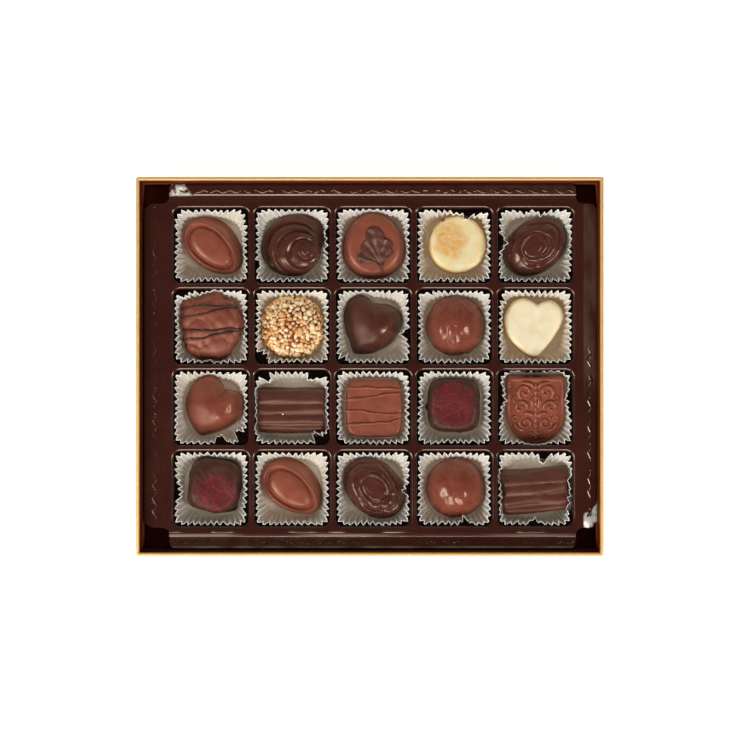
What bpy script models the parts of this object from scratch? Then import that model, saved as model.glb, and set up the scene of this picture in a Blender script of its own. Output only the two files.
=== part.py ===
"""An open box of chocolate pralines.

A rigid card box holds a thin formed tray with five columns and four rows of wells. Each well holds a
pleated paper cup, and each cup one praline. The origin is the middle of the box's underside, +X runs
along the box's length, +Y to its far side and +Z up.
"""

import math

import bmesh
import bpy
from mathutils import Matrix, Vector

MM = 0.001
GAP = 0.3 * MM  # between pieces that lie on or in each other

# Box
BOX_LENGTH = 211 * MM
BOX_WIDTH = 171 * MM
BOX_HEIGHT = 30 * MM
BOARD = 2.0 * MM
BOARD_ROUND = 0.5 * MM

# Tray
COLUMNS = 5
ROWS = 4
PITCH = 36.75 * MM
GRID_X = 1.5 * MM  # the tray sits a little to the right in the box
GRID_Y = -0.3 * MM
TRAY_SKIN = 0.5 * MM
DECK_Z = 22.8 * MM
WELL_TOP = 17.0 * MM  # half of a well's opening
WELL_BOTTOM = 16.6 * MM  # half of a well's floor
WELL_ROUND = 3.2 * MM
WELL_ARC_STEPS = 2
WELL_FLOOR_Z = BOARD + GAP + TRAY_SKIN
DECK_LEFT, DECK_RIGHT = -94.2 * MM, 96.7 * MM
DECK_NEAR, DECK_FAR = -76.4 * MM, 77.2 * MM
FLAP_LEFT, FLAP_RIGHT = -102.3 * MM, 102.9 * MM
FLAP_NEAR, FLAP_FAR = -82.6 * MM, 82.7 * MM
FLAP_RISE = 0.8 * MM
FLAP_ROUND = 4.5 * MM
FLAP_ARC_STEPS = 3

# Paper cups
CUP_SKIN = 0.2 * MM
CUP_FLUTES = 16
CUP_FLOOR_Z = WELL_FLOOR_Z + GAP
CUP_RIM_Z = 21.9 * MM
CUP_RIM_OUT = 16.5 * MM  # half of the rim's outer size, over the pleats
CUP_IN = 15.2 * MM  # half of the floor's size, and of the rim's between the pleats
CUP_FLOOR_POWER = 3.2
CUP_IN_POWER = 5.0
CUP_OUT_POWER = 6.0
PRESSED_CUP_IN = 16.2 * MM  # the same for a cup that a large praline presses flat against its well
PRESSED_CUP_POWER = 6.0
PRESSED_CUP_FLUTES = 20

# Pralines
PRALINE_Z = CUP_FLOOR_Z + CUP_SKIN + GAP
ROUND_POINTS = 16
SQUARE_POINTS = 16
HEART_STEPS = 2
LEAF_POINTS = 36
# The leaf's middle, top lobe, side lobes and foot: x, y and radius in millimetres
LEAF_LOBES = (
    (0.0, 0.0, 4.6),
    (-0.4, 6.0, 4.2),
    (5.3, 2.6, 2.6),
    (5.4, -2.0, 2.4),
    (-4.8, 2.0, 2.7),
    (-6.0, -4.0, 2.9),
    (1.6, -5.8, 1.7),
)

# Colours
GOLD = (0.80, 0.55, 0.24)
TRAY_BROWN = (0.050, 0.018, 0.014)
PAPER = (0.62, 0.60, 0.52)
MILK = (0.27, 0.082, 0.050)
DARK = (0.075, 0.027, 0.020)
IVORY = (0.86, 0.76, 0.50)
NUT = (0.75, 0.48, 0.24)
BERRY = (0.13, 0.020, 0.022)


def clear_scene():
    for old in list(bpy.data.objects):
        bpy.data.objects.remove(old, do_unlink=True)


def material(name, colour, roughness, metallic=0.0):
    made = bpy.data.materials.new(name)
    made.use_nodes = True
    shader = made.node_tree.nodes["Principled BSDF"]
    shader.inputs["Base Color"].default_value = (*colour, 1.0)
    shader.inputs["Roughness"].default_value = roughness
    shader.inputs["Metallic"].default_value = metallic
    return made


def object_from(name, bm, surface, smooth_angle=40):
    """A scene object that takes over the bmesh."""
    mesh = bpy.data.meshes.new(name)
    bm.to_mesh(mesh)
    bm.free()
    mesh.materials.append(surface)
    mesh.shade_smooth()
    mesh.set_sharp_from_angle(angle=math.radians(smooth_angle))
    made = bpy.data.objects.new(name, mesh)
    bpy.context.scene.collection.objects.link(made)
    return made


# ---------------------------------------------------------------- outlines


def superellipse_radius(angle, half_x, half_y, power):
    """Distance from the centre to a superellipse; a power of 2 is an ellipse, 6 nearly a rectangle."""
    along = abs(math.cos(angle) / half_x) ** power
    across = abs(math.sin(angle) / half_y) ** power
    return (along + across) ** (-1 / power)


def polar(count, radius):
    """count points round the centre, where radius is a function of the angle."""
    angles = [math.tau * i / count for i in range(count)]
    return [Vector((math.cos(a), math.sin(a))) * radius(a) for a in angles]


def superellipse(half_x, half_y, power, count=ROUND_POINTS):
    return polar(count, lambda a: superellipse_radius(a, half_x, half_y, power))


def egg(half_x, half_y, blunt, count=ROUND_POINTS):
    """An oval whose +X end is narrower, by the share blunt."""
    angles = [math.tau * i / count for i in range(count)]
    return [Vector((half_x * math.cos(a), half_y * math.sin(a) * (1 - blunt * math.cos(a)))) for a in angles]


def teardrop(radius, bulge, direction, spread, count=ROUND_POINTS):
    """A circle drawn out by the share bulge towards one direction."""

    def reach(angle):
        off = math.remainder(angle - direction, math.tau)
        return radius * (1 + bulge * math.exp(-((off / spread) ** 2)))

    return polar(count, reach)


def catmull(before, start, end, after, t):
    """A point between start and end on the smooth curve through four points."""
    return 0.5 * (
        2 * start
        + (end - before) * t
        + (2 * before - 5 * start + 4 * end - after) * t * t
        + (3 * start - before - 3 * end + after) * t**3
    )


def heart(width, height, steps=HEART_STEPS):
    """A full heart with its tip towards -Y: one side is a smooth curve from notch to tip, mirrored."""
    knots = [Vector(p) for p in ((0, 0.70), (0.42, 0.94), (0.86, 0.72), (0.98, 0.20), (0.66, -0.45), (0, -1.0))]
    lead = Vector((-0.15, 0.95))
    trail = Vector((-0.50, -1.45))
    chain = [lead, *knots, trail]
    side = []
    for i in range(len(knots) - 1):
        side += [catmull(*chain[i : i + 4], s / steps) for s in range(steps)]
    side.append(knots[-1])
    mirrored = [Vector((-p.x, p.y)) for p in side[1:-1]]
    points = [Vector((p.x * width / 2, p.y * height / 2)) for p in [*reversed(mirrored), *side]]
    return list(reversed(points))


def shield(half_x, half_y, corner, steps=4):
    """A flat top edge with round corners, straight sides and a round foot towards -Y."""
    foot = [math.pi + math.pi * i / (2 * steps) for i in range(2 * steps + 1)]
    shoulder_y = half_y - half_x * 1.1
    points = [Vector((half_x * math.cos(a), -shoulder_y + (half_y - shoulder_y) * math.sin(a))) for a in foot]
    for centre_x, start in ((half_x - corner, 0.0), (corner - half_x, math.pi / 2)):
        arc = [start + math.pi / 2 * i / 2 for i in range(3)]
        points += [Vector((centre_x + corner * math.cos(a), half_y - corner + corner * math.sin(a))) for a in arc]
    return points


# ---------------------------------------------------------------- solids


def loft(name, outline, section, surface, taper=(0.0, 0.0), shift=(0.0, 0.0)):
    """A closed solid from rings of one outline, and a round top.

    section lists (scale, height) from the base to the middle of the top. taper narrows the rings with
    height, and shift moves them, both in full at the top.
    """
    bm = bmesh.new()
    top_height = section[-1][1]
    loops = []
    for scale, height in section[:-1]:
        rise = height / top_height
        narrow = Vector((1 - taper[0] * rise, 1 - taper[1] * rise))
        loops.append(
            [
                bm.verts.new(
                    (p.x * scale * narrow.x + shift[0] * rise, p.y * scale * narrow.y + shift[1] * rise, height)
                )
                for p in outline
            ]
        )
    count = len(outline)
    bm.faces.new(list(reversed(loops[0])))
    for lower, upper in zip(loops, loops[1:]):
        for i in range(count):
            j = (i + 1) % count
            bm.faces.new((lower[i], lower[j], upper[j], upper[i]))
    peak = bm.verts.new((shift[0], shift[1], top_height))
    for i in range(count):
        bm.faces.new((loops[-1][i], loops[-1][(i + 1) % count], peak))
    return object_from(name, bm, surface)


def ribbed_log(name, surface, length, width, height, ribs=5):
    """A bar with rounded long edges and ribs along its top, narrowed at both ends."""
    side = [(-1.0, 0.0), (-1.02, 0.10), (-0.98, 0.62), (-0.86, 0.84)]
    crown = []
    for i in range(2 * ribs - 1):
        across = -0.62 + 1.24 * i / (2 * ribs - 2)
        crown.append((across, 0.97 - 0.08 * (i % 2) - 0.05 * across * across))
    profile = [*side, *crown, *((-x, z) for x, z in reversed(side))]
    bm = bmesh.new()
    loops = []
    for along, scale in ((-1, 0.80), (-0.93, 0.98), (0.93, 0.98), (1, 0.80)):
        loops.append(
            [bm.verts.new((along * length / 2, y * scale * width / 2, z * scale * height)) for y, z in profile]
        )
    count = len(profile)
    bm.faces.new(loops[0])
    bm.faces.new(list(reversed(loops[-1])))
    for near, far in zip(loops, loops[1:]):
        for i in range(count):
            j = (i + 1) % count
            bm.faces.new((near[j], near[i], far[i], far[j]))
    bmesh.ops.recalc_face_normals(bm, faces=bm.faces)
    return object_from(name, bm, surface)


# ---------------------------------------------------------------- box and tray


def build_box(surface):
    """A square tray of board, open at the top."""
    bm = bmesh.new()
    size = Matrix.Diagonal((BOX_LENGTH, BOX_WIDTH, BOX_HEIGHT, 1))
    bmesh.ops.create_cube(bm, size=1, matrix=Matrix.Translation((0, 0, BOX_HEIGHT / 2)) @ size)
    top = max(bm.faces, key=lambda f: f.calc_center_median().z)
    bmesh.ops.inset_region(bm, faces=[top], thickness=BOARD)
    sunk = bmesh.ops.extrude_discrete_faces(bm, faces=[top])["faces"]
    bmesh.ops.translate(bm, verts=sunk[0].verts, vec=(0, 0, BOARD - BOX_HEIGHT))
    made = object_from("box", bm, surface)
    edges = made.modifiers.new("round_edges", "BEVEL")
    edges.width = BOARD_ROUND
    edges.segments = 1
    return made


def rounded_square(half, radius, z):
    """Points round a square with round corners, quarter by quarter."""
    quarters = []
    for k in range(4):
        start = math.pi / 2 * k
        centre = Vector((half - radius, half - radius))
        centre.rotate(Matrix.Rotation(start, 2))
        arc = [start + math.pi / 2 * i / WELL_ARC_STEPS for i in range(WELL_ARC_STEPS + 1)]
        quarters.append([Vector((centre.x + radius * math.cos(a), centre.y + radius * math.sin(a), z)) for a in arc])
    return quarters


def add_well(bm, centre):
    """One well with its share of the deck round it."""
    corners = []
    for k in range(4):
        corner = Vector((PITCH / 2, PITCH / 2))
        corner.rotate(Matrix.Rotation(math.pi / 2 * k, 2))
        corners.append(bm.verts.new((centre.x + corner.x, centre.y + corner.y, DECK_Z)))
    offset = Vector((centre.x, centre.y, 0))
    rim = [[bm.verts.new(p + offset) for p in quarter] for quarter in rounded_square(WELL_TOP, WELL_ROUND, DECK_Z)]
    floor = [
        [bm.verts.new(p + offset) for p in quarter]
        for quarter in rounded_square(WELL_BOTTOM, WELL_ROUND, WELL_FLOOR_Z)
    ]
    for k in range(4):
        after = (k + 1) % 4
        for i in range(WELL_ARC_STEPS):
            bm.faces.new((corners[k], rim[k][i + 1], rim[k][i]))
        bm.faces.new((corners[k], corners[after], rim[after][0], rim[k][-1]))
    rim_loop = sum(rim, [])
    floor_loop = sum(floor, [])
    for i in range(len(rim_loop)):
        j = (i + 1) % len(rim_loop)
        bm.faces.new((rim_loop[i], rim_loop[j], floor_loop[j], floor_loop[i]))
    bm.faces.new(floor_loop)


def add_flap(bm, inner, reach, sideways, room):
    """A flap from the deck's edge outwards, with round outer corners.

    inner lists the points along the deck's edge, reach is the way out to the flap's edge, sideways the
    unit direction along the edge, and room how far the corners are drawn in.
    """
    root = [bm.verts.new(p) for p in inner]
    outer = []
    for end, sign in ((inner[0], 1), (inner[-1], -1)):
        arc = []
        for i in range(FLAP_ARC_STEPS + 1):
            turn = math.pi / 2 * i / FLAP_ARC_STEPS
            out = 1 - room * (1 - math.sin(turn))
            arc.append(end + reach * out + sideways * sign * FLAP_ROUND * (1 - math.cos(turn)))
        outer.append([bm.verts.new(p) for p in arc])
    middle = [bm.verts.new(p + reach) for p in inner[1:-1]]
    edge = [outer[0], *[[v] for v in middle], list(reversed(outer[1]))]
    for i in range(len(root) - 1):
        left, right = edge[i], edge[i + 1]
        bm.faces.new([root[i], *left, right[0], *(right[1:] if i + 1 == len(root) - 1 else []), root[i + 1]])


def build_tray(surface):
    """The formed tray as one skin: wells, deck and four flaps, thickened downwards."""
    bm = bmesh.new()
    xs = [GRID_X + PITCH * (i - COLUMNS / 2) for i in range(COLUMNS + 1)]
    ys = [GRID_Y + PITCH * (i - ROWS / 2) for i in range(ROWS + 1)]
    for x in xs[:-1]:
        for y in ys[:-1]:
            add_well(bm, Vector((x + PITCH / 2, y + PITCH / 2)))
    sides = (
        ([Vector((x, ys[0], DECK_Z)) for x in xs], Vector((0, DECK_NEAR - ys[0], 0)), FLAP_NEAR - DECK_NEAR),
        ([Vector((x, ys[-1], DECK_Z)) for x in xs], Vector((0, DECK_FAR - ys[-1], 0)), FLAP_FAR - DECK_FAR),
        ([Vector((xs[0], y, DECK_Z)) for y in ys], Vector((DECK_LEFT - xs[0], 0, 0)), FLAP_LEFT - DECK_LEFT),
        ([Vector((xs[-1], y, DECK_Z)) for y in ys], Vector((DECK_RIGHT - xs[-1], 0, 0)), FLAP_RIGHT - DECK_RIGHT),
    )
    for line, margin, flap_width in sides:
        inner = [bm.verts.new(p) for p in line]
        outer = [bm.verts.new(p + margin) for p in line]
        for i in range(len(line) - 1):
            bm.faces.new((inner[i], inner[i + 1], outer[i + 1], outer[i]))
        reach = margin.normalized() * abs(flap_width) + Vector((0, 0, FLAP_RISE))
        along = (line[-1] - line[0]).normalized()
        add_flap(bm, [p + margin for p in line], reach, along, FLAP_ROUND / abs(flap_width))
    for x, edge_x in ((xs[0], DECK_LEFT), (xs[-1], DECK_RIGHT)):
        for y, edge_y in ((ys[0], DECK_NEAR), (ys[-1], DECK_FAR)):
            bm.faces.new([bm.verts.new(p) for p in ((x, y, DECK_Z), (edge_x, y, DECK_Z), (x, edge_y, DECK_Z))])
    bmesh.ops.remove_doubles(bm, verts=bm.verts, dist=0.001 * MM)
    bmesh.ops.recalc_face_normals(bm, faces=bm.faces)
    deck = next(f for f in bm.faces if f.calc_center_median().x < DECK_LEFT)
    if deck.normal.z < 0:
        bmesh.ops.reverse_faces(bm, faces=bm.faces)
    made = object_from("tray", bm, surface)
    skin = made.modifiers.new("skin", "SOLIDIFY")
    skin.thickness = TRAY_SKIN
    skin.offset = -1
    skin.use_even_offset = True
    return made


# ---------------------------------------------------------------- paper cups


def build_cup(name, surface, pressed):
    """A cup with a flat floor and a pleated wall."""
    half = PRESSED_CUP_IN if pressed else CUP_IN
    flutes = PRESSED_CUP_FLUTES if pressed else CUP_FLUTES
    floor_power = PRESSED_CUP_POWER if pressed else CUP_FLOOR_POWER
    rim_power = PRESSED_CUP_POWER if pressed else CUP_IN_POWER
    bm = bmesh.new()
    floor_height = CUP_FLOOR_Z + CUP_SKIN
    floor = [bm.verts.new((*p, floor_height)) for p in superellipse(half, half, floor_power, flutes)]
    rim = []
    for i in range(2 * flutes):
        angle = math.tau * (i - 0.5) / (2 * flutes)
        if i % 2:
            reach = superellipse_radius(angle, CUP_RIM_OUT, CUP_RIM_OUT, CUP_OUT_POWER)
        else:
            reach = superellipse_radius(angle, half, half, rim_power)
        rim.append(bm.verts.new((reach * math.cos(angle), reach * math.sin(angle), CUP_RIM_Z)))
    for i in range(flutes):
        after = (i + 1) % flutes
        inward, outward = rim[2 * i], rim[2 * i + 1]
        bm.faces.new((floor[i], inward, outward))
        bm.faces.new((floor[i], outward, floor[after]))
        bm.faces.new((floor[after], outward, rim[2 * after]))
    bm.faces.new(floor)
    bmesh.ops.recalc_face_normals(bm, faces=bm.faces)
    base = max(bm.faces, key=lambda f: len(f.verts))
    if base.normal.z < 0:
        bmesh.ops.reverse_faces(bm, faces=bm.faces)
    made = object_from(name, bm, surface, smooth_angle=10)
    skin = made.modifiers.new("skin", "SOLIDIFY")
    skin.thickness = CUP_SKIN
    skin.offset = -1
    skin.use_even_offset = True
    return made


# ---------------------------------------------------------------- pralines


def rings(*pairs):
    """A section in metres, from (scale, height in millimetres) pairs."""
    return [(scale, height * MM) for scale, height in pairs]


def oval(name, look):
    """An egg-shaped oval with a raised rim, a groove and a low dome inside it."""
    section = rings((0.95, 0), (1, 1.5), (1, 9.4), (0.95, 11.1), (0.89, 11.2), (0.82, 10.1), (0.75, 11.0), (0, 12.4))
    outline = egg(15.2 * MM, 11.5 * MM, 0.07)
    return loft(name, outline, section, look["milk"], taper=(0.05, 0.15), shift=(0, -1.8 * MM))


def snail(name, look):
    """A piped swirl: steps round a peak that stands towards the drawn-out side."""
    outline = teardrop(13.6 * MM, 0.16, math.radians(30), math.radians(32))
    lower = rings((0.92, 0), (1, 3.5), (0.92, 7.6), (0.78, 9.8), (0.70, 9.6))
    upper = rings((0.55, 12.3), (0.47, 12.1), (0.33, 14.6), (0.26, 14.4), (0.14, 16.8), (0, 17.4))
    return loft(name, outline, lower + upper, look["dark"], shift=(5.6 * MM, -3.2 * MM))


def leaf_egg(name, look):
    section = rings((0.93, 0), (1, 2.5), (0.985, 7), (0.92, 11), (0.80, 13.6), (0.66, 14.6), (0, 14.6))
    return loft(name, egg(15.4 * MM, 14.3 * MM, 0.08), section, look["milk"])


def leaf(name, look):
    """A lobed leaf, flat on the praline under it."""

    def reach(angle):
        """How far it is from the middle to the edge of the furthest lobe that way."""
        way = Vector((math.cos(angle), math.sin(angle)))
        furthest = 0.0
        for x, y, radius in LEAF_LOBES:
            along = Vector((x, y)).dot(way)
            room = radius**2 + along**2 - x * x - y * y
            if room > 0:
                furthest = max(furthest, along + math.sqrt(room))
        return furthest * MM

    return loft(name, polar(LEAF_POINTS, reach), rings((1, 0), (0.94, 0.6), (0, 1.0)), look["dark"])


def button(name, look):
    section = rings((0.95, 0), (1, 1.5), (1, 8), (0.95, 11.2), (0.82, 13.2), (0, 14.2))
    return loft(name, superellipse(13.2 * MM, 13.2 * MM, 2), section, look["ivory"])


def whorl(name, look):
    """An oval wrapped in two bands round a raised middle."""
    section = rings((0.92, 0), (1, 3), (0.96, 7.8), (0.86, 10.9), (0.74, 12.0), (0.69, 13.2), (0.50, 13.9), (0.44, 15.0), (0, 15.4))
    return loft(name, superellipse(15.8 * MM, 12.0 * MM, 2.1), section, look["dark"])


def cluster(name, look):
    """A lumpy heap of nuts under chocolate."""

    def reach(angle):
        lumps = 1 + 0.030 * math.sin(5 * angle + 1) + 0.022 * math.sin(9 * angle)
        return superellipse_radius(angle, 13.9 * MM, 14.7 * MM, 2.5) * lumps

    section = rings((0.9, 0), (1, 4), (0.98, 9), (0.86, 13.6), (0.6, 15.6), (0, 16.2))
    return loft(name, polar(ROUND_POINTS, reach), section, look["milk"])


def nut_dome(name, look):
    section = rings((0.80, 0), (0.95, 3), (1, 7.5), (0.94, 12), (0.76, 15.8), (0.45, 18), (0, 18.8))
    return loft(name, superellipse(14.7 * MM, 14.6 * MM, 2), section, look["nut"])


def heart_dark(name, look):
    return heart_of(name, look["dark"])


def heart_milk(name, look):
    return heart_of(name, look["milk"])


def heart_ivory(name, look):
    return heart_of(name, look["ivory"])


def heart_of(name, surface):
    section = rings((0.95, 0), (1, 2), (0.98, 6.4), (0.89, 10.4), (0.70, 12.8), (0.40, 13.8), (0, 14.2))
    return loft(name, heart(27.8 * MM, 27.6 * MM), section, surface)


def dome(name, look):
    section = rings((0.92, 0), (1, 3), (0.985, 8), (0.88, 13), (0.64, 16.2), (0.32, 17.6), (0, 18))
    return loft(name, superellipse(13.6 * MM, 13.8 * MM, 2.15), section, look["milk"])


def log(name, look):
    return ribbed_log(name, look["dark"], 30.2 * MM, 21.0 * MM, 15.0 * MM)


def drizzle_square(name, look):
    section = rings((0.97, 0), (1, 1), (1, 9.8), (0.965, 12.4), (0.88, 13.7), (0, 14.3))
    return loft(name, superellipse(12.9 * MM, 13.1 * MM, 5, SQUARE_POINTS), section, look["milk"])


def powder_square(name, look):
    section = rings((1.03, 0), (1.0, 1.2), (0.97, 8), (0.90, 12.6), (0.74, 14.4), (0, 15.2))
    return loft(name, superellipse(11.9 * MM, 12.4 * MM, 3.4, SQUARE_POINTS), section, look["berry"])


def crest(name, look):
    section = rings((0.98, 0), (1, 1), (0.97, 8.4), (0.93, 9.4), (0, 9.8))
    return loft(name, shield(13.3 * MM, 15.4 * MM, 2.0 * MM), section, look["milk"])


# What lies in each cup, from the far row to the near one, with its turn in degrees and its place from
# the middle of the well in millimetres.
CONTENTS = (
    (
        (oval, -43, (0.9, 0.4)),
        (snail, 0, (0.3, 0.7)),
        (leaf_egg, 96, (0.2, 0.3)),
        (button, 0, (1.6, 0.8)),
        (whorl, 37, (0.5, 0.0)),
    ),
    (
        (cluster, 0, (-0.5, 0.4)),
        (nut_dome, 0, (0.0, -0.1)),
        (heart_dark, -27, (0.2, 0.9)),
        (dome, 0, (0.8, 0.6)),
        (heart_ivory, -3, (0.5, -0.6)),
    ),
    (
        (heart_milk, -27, (0.7, 0.9)),
        (log, 0, (-0.5, -1.0)),
        (drizzle_square, 0, (0.5, -0.4)),
        (powder_square, 0, (0.1, 1.2)),
        (crest, 0, (0.5, -0.3)),
    ),
    (
        (powder_square, -7, (1.0, 1.4)),
        (oval, -38, (0.2, 0.7)),
        (whorl, -44, (0.5, -0.1)),
        (dome, 20, (0.9, 0.1)),
        (log, 5, (0.1, -0.8)),
    ),
)
LEANS = {crest: 7}  # degrees, far edge up, propped on the pleats
IN_PRESSED_CUPS = (snail, leaf_egg, whorl, cluster, heart_dark, heart_milk, log, powder_square, crest)


def well_centre(column, row):
    x = GRID_X + PITCH * (column - (COLUMNS - 1) / 2)
    y = GRID_Y + PITCH * ((ROWS - 1) / 2 - row)
    return Vector((x, y, 0))


def place(piece, centre, turn, offset, lean=0.0):
    """Sets a praline down in its cup; a leaning one is lifted until its low edge clears the floor."""
    turned = Matrix.Rotation(math.radians(turn), 4, "Z") @ Matrix.Rotation(math.radians(lean), 4, "X")
    lowest = min((turned @ v.co).z for v in piece.data.vertices)
    where = centre + Vector((offset[0] * MM, offset[1] * MM, PRALINE_Z - lowest))
    piece.matrix_world = Matrix.Translation(where) @ turned


def main():
    clear_scene()
    look = {
        "milk": material("milk_chocolate", MILK, 0.42),
        "dark": material("dark_chocolate", DARK, 0.30),
        "ivory": material("white_chocolate", IVORY, 0.45),
        "nut": material("chopped_nut", NUT, 0.55),
        "berry": material("berry_dusted_chocolate", BERRY, 0.60),
        "paper": material("cup_paper", PAPER, 0.50),
    }
    build_box(material("gold_card", GOLD, 0.35, 0.8))
    build_tray(material("tray_plastic", TRAY_BROWN, 0.22))
    for row, line in enumerate(CONTENTS):
        for column, (make, turn, offset) in enumerate(line):
            where = f"r{row + 1}c{column + 1}"
            centre = well_centre(column, row)
            cup = build_cup(f"cup_{where}", look["paper"], make in IN_PRESSED_CUPS)
            cup.location = centre
            piece = make(f"{make.__name__}_{where}", look)
            place(piece, centre, turn, offset, LEANS.get(make, 0.0))
            if make is leaf_egg:
                top = leaf("leaf", look)
                top.parent = piece
                top.location = (-1.15 * MM, -0.93 * MM, 14.6 * MM + GAP)
                top.rotation_euler = (0, 0, math.radians(-turn))


main()
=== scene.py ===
"""The looks of an open box of chocolate pralines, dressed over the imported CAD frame.

Shapes are worked out in millimetres as numpy arrays and turned into metres when they become meshes.
"""

import math

import bmesh
import bpy
import numpy as np
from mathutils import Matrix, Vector
from mathutils.bvhtree import BVHTree


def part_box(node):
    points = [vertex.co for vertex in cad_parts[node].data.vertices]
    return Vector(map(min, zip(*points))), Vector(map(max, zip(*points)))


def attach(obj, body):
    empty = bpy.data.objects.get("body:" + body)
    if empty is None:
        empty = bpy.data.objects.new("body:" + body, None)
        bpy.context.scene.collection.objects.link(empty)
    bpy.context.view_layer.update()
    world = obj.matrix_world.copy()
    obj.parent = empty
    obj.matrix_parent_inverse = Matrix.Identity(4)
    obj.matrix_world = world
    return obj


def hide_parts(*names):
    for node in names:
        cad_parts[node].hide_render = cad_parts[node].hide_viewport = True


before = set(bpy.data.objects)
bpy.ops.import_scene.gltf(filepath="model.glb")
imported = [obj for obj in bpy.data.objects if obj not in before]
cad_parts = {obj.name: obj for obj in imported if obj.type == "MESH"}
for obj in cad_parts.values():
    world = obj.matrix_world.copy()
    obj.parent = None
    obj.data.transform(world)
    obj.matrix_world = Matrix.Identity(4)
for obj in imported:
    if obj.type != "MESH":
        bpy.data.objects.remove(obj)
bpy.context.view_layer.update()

MM = 0.001
TURN = 2 * math.pi

# The grid of wells
COLUMNS, ROWS = 5, 4
PITCH = 36.75
GRID = np.array((1.5, -0.3))  # its middle
HALF_GRID = PITCH / 2 * np.array((COLUMNS, ROWS))
DECK_Z = 22.8

# Tray
WELL_TOP, WELL_BOTTOM = 17.0, 16.6  # half of a well's opening and of its floor
WELL_ROUND = 3.2
WELL_FLOOR_Z = 2.8
WELL_FOOT_ROUND = 1.4
# The edge between the deck and a well, as (distance out, depth below the deck). Its slope catches the light.
WELL_LIP = (
    (1.1, 0), (0.96, 0.02), (0.84, 0.065), (0.76, 0.10), (0.58, 0.184), (0.49, 0.23), (0.34, 0.33),
    (0.17, 0.56), (0.04, 0.93), (0, 1.3),
)
# The same for the outer edge of a flap.
FLAP_LIP = (
    (1.05, 0), (0.92, 0.015), (0.80, 0.06), (0.70, 0.107), (0.35, 0.27), (0.25, 0.32), (0.10, 0.45),
    (0, 0.62), (-0.02, 1.0),
)
FLAP_RISE = 0.8
NOTCH = 3.4  # radius of the round bite out of each corner of the deck
SHEET = 0.4  # thickness of the tray's sheet

# Paper cups
FLUTES = 42
CUP_FLOOR_Z = 3.1
CUP_RIM_Z = 21.9
CUP_RIM = 16.5  # half of the rim's size over the pleats
CUP_FLOOR = 12.8  # half of the floor's size
FLOOR_POWER = 2.8
PLEAT = 2.1  # depth of the pleats at the rim
RIM_POWER = 11  # how square the rim is
PAPER_THICK = 0.14

CORNER_SIGNS = ((1, 1), (-1, 1), (-1, -1), (1, -1))  # of the four corners of a rectangle, anticlockwise


# ---------------------------------------------------------------- shapes


def waves(points, size, seed, count=26):
    """A smooth random field of about unit spread, with features of the given size."""
    pick = np.random.default_rng(seed)
    ways = pick.normal(size=(points.shape[-1], count))
    ways /= np.linalg.norm(ways, axis=0)
    ways *= TURN / size * pick.uniform(0.5, 1.3, count)
    return np.cos(points @ ways + pick.uniform(0, TURN, count)).sum(axis=-1) * math.sqrt(2 / count)


def smoothstep(low, high, value):
    t = np.clip((value - low) / (high - low), 0, 1)
    return t * t * (3 - 2 * t)


def peak(value, middle, width):
    """A smooth bump of height 1 round middle."""
    return np.exp(-(((value - middle) / width) ** 2))


def toward(angle, direction, width):
    """A smooth bump of height 1 round a direction. It and the width are in degrees, the angles in radians."""
    return peak((angle - math.radians(direction) + math.pi) % TURN - math.pi, 0, math.radians(width))


def angles(count=144):
    return np.linspace(0, TURN, count, endpoint=False)


def circle(a):
    """Points on the unit circle at the angles."""
    return np.column_stack([np.cos(a), np.sin(a)])


def reach_at(angle, half_x, half_y, power):
    """How far an ellipse (power 2) or a rounded rectangle (a higher power) reaches in a direction."""
    return (np.abs(np.cos(angle) / half_x) ** power + np.abs(np.sin(angle) / half_y) ** power) ** (-1 / power)


def travelled(line):
    """The distance along a line of points from its first one."""
    return np.concatenate([[0], np.cumsum(np.linalg.norm(np.diff(line, axis=0), axis=1))])


def evenly(line, count, closed=False):
    """count points at equal distances along a line of points."""
    along = travelled(line)
    wanted = np.linspace(0, along[-1], count, endpoint=not closed)
    return np.stack([np.interp(wanted, along, axis) for axis in line.T], axis=1)


def curve_through(knots, count, closed=False):
    """count points evenly along the smooth curve through the knots."""
    knots = np.asarray(knots, float)
    if closed:
        chain = np.vstack([knots[-1:], knots, knots[:2]])
    else:
        chain = np.vstack([2 * knots[:1] - knots[1:2], knots, 2 * knots[-1:] - knots[-2:-1]])
    t = np.linspace(0, 1, 24, endpoint=False)[:, None]
    pieces = []
    for a, b, c, d in zip(chain, chain[1:], chain[2:], chain[3:]):
        bend = (2 * a - 5 * b + 4 * c - d) * t**2 + (3 * b - a - 3 * c + d) * t**3
        pieces.append(0.5 * (2 * b + (c - a) * t + bend))
    return evenly(np.vstack([*pieces, knots[:1] if closed else knots[-1:]]), count, closed)


def grid_faces(rows, columns, wrap=True):
    """Quads between rows of points, as one array."""
    steps = columns if wrap else columns - 1
    i, j = np.meshgrid(np.arange(rows - 1), np.arange(steps), indexing="ij")
    after = (j + 1) % columns
    quads = np.stack([i * columns + j, i * columns + after, (i + 1) * columns + after, (i + 1) * columns + j])
    return quads.reshape(4, -1).T


def joined(parts):
    """The points and the faces of several (points, faces) parts as one."""
    points, faces, count = [], [], 0
    for part_points, part_faces in parts:
        points.append(np.reshape(part_points, (-1, 3)))
        faces += [[count + v for v in face] for face in part_faces]
        count += len(points[-1])
    return np.vstack(points), faces


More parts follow.
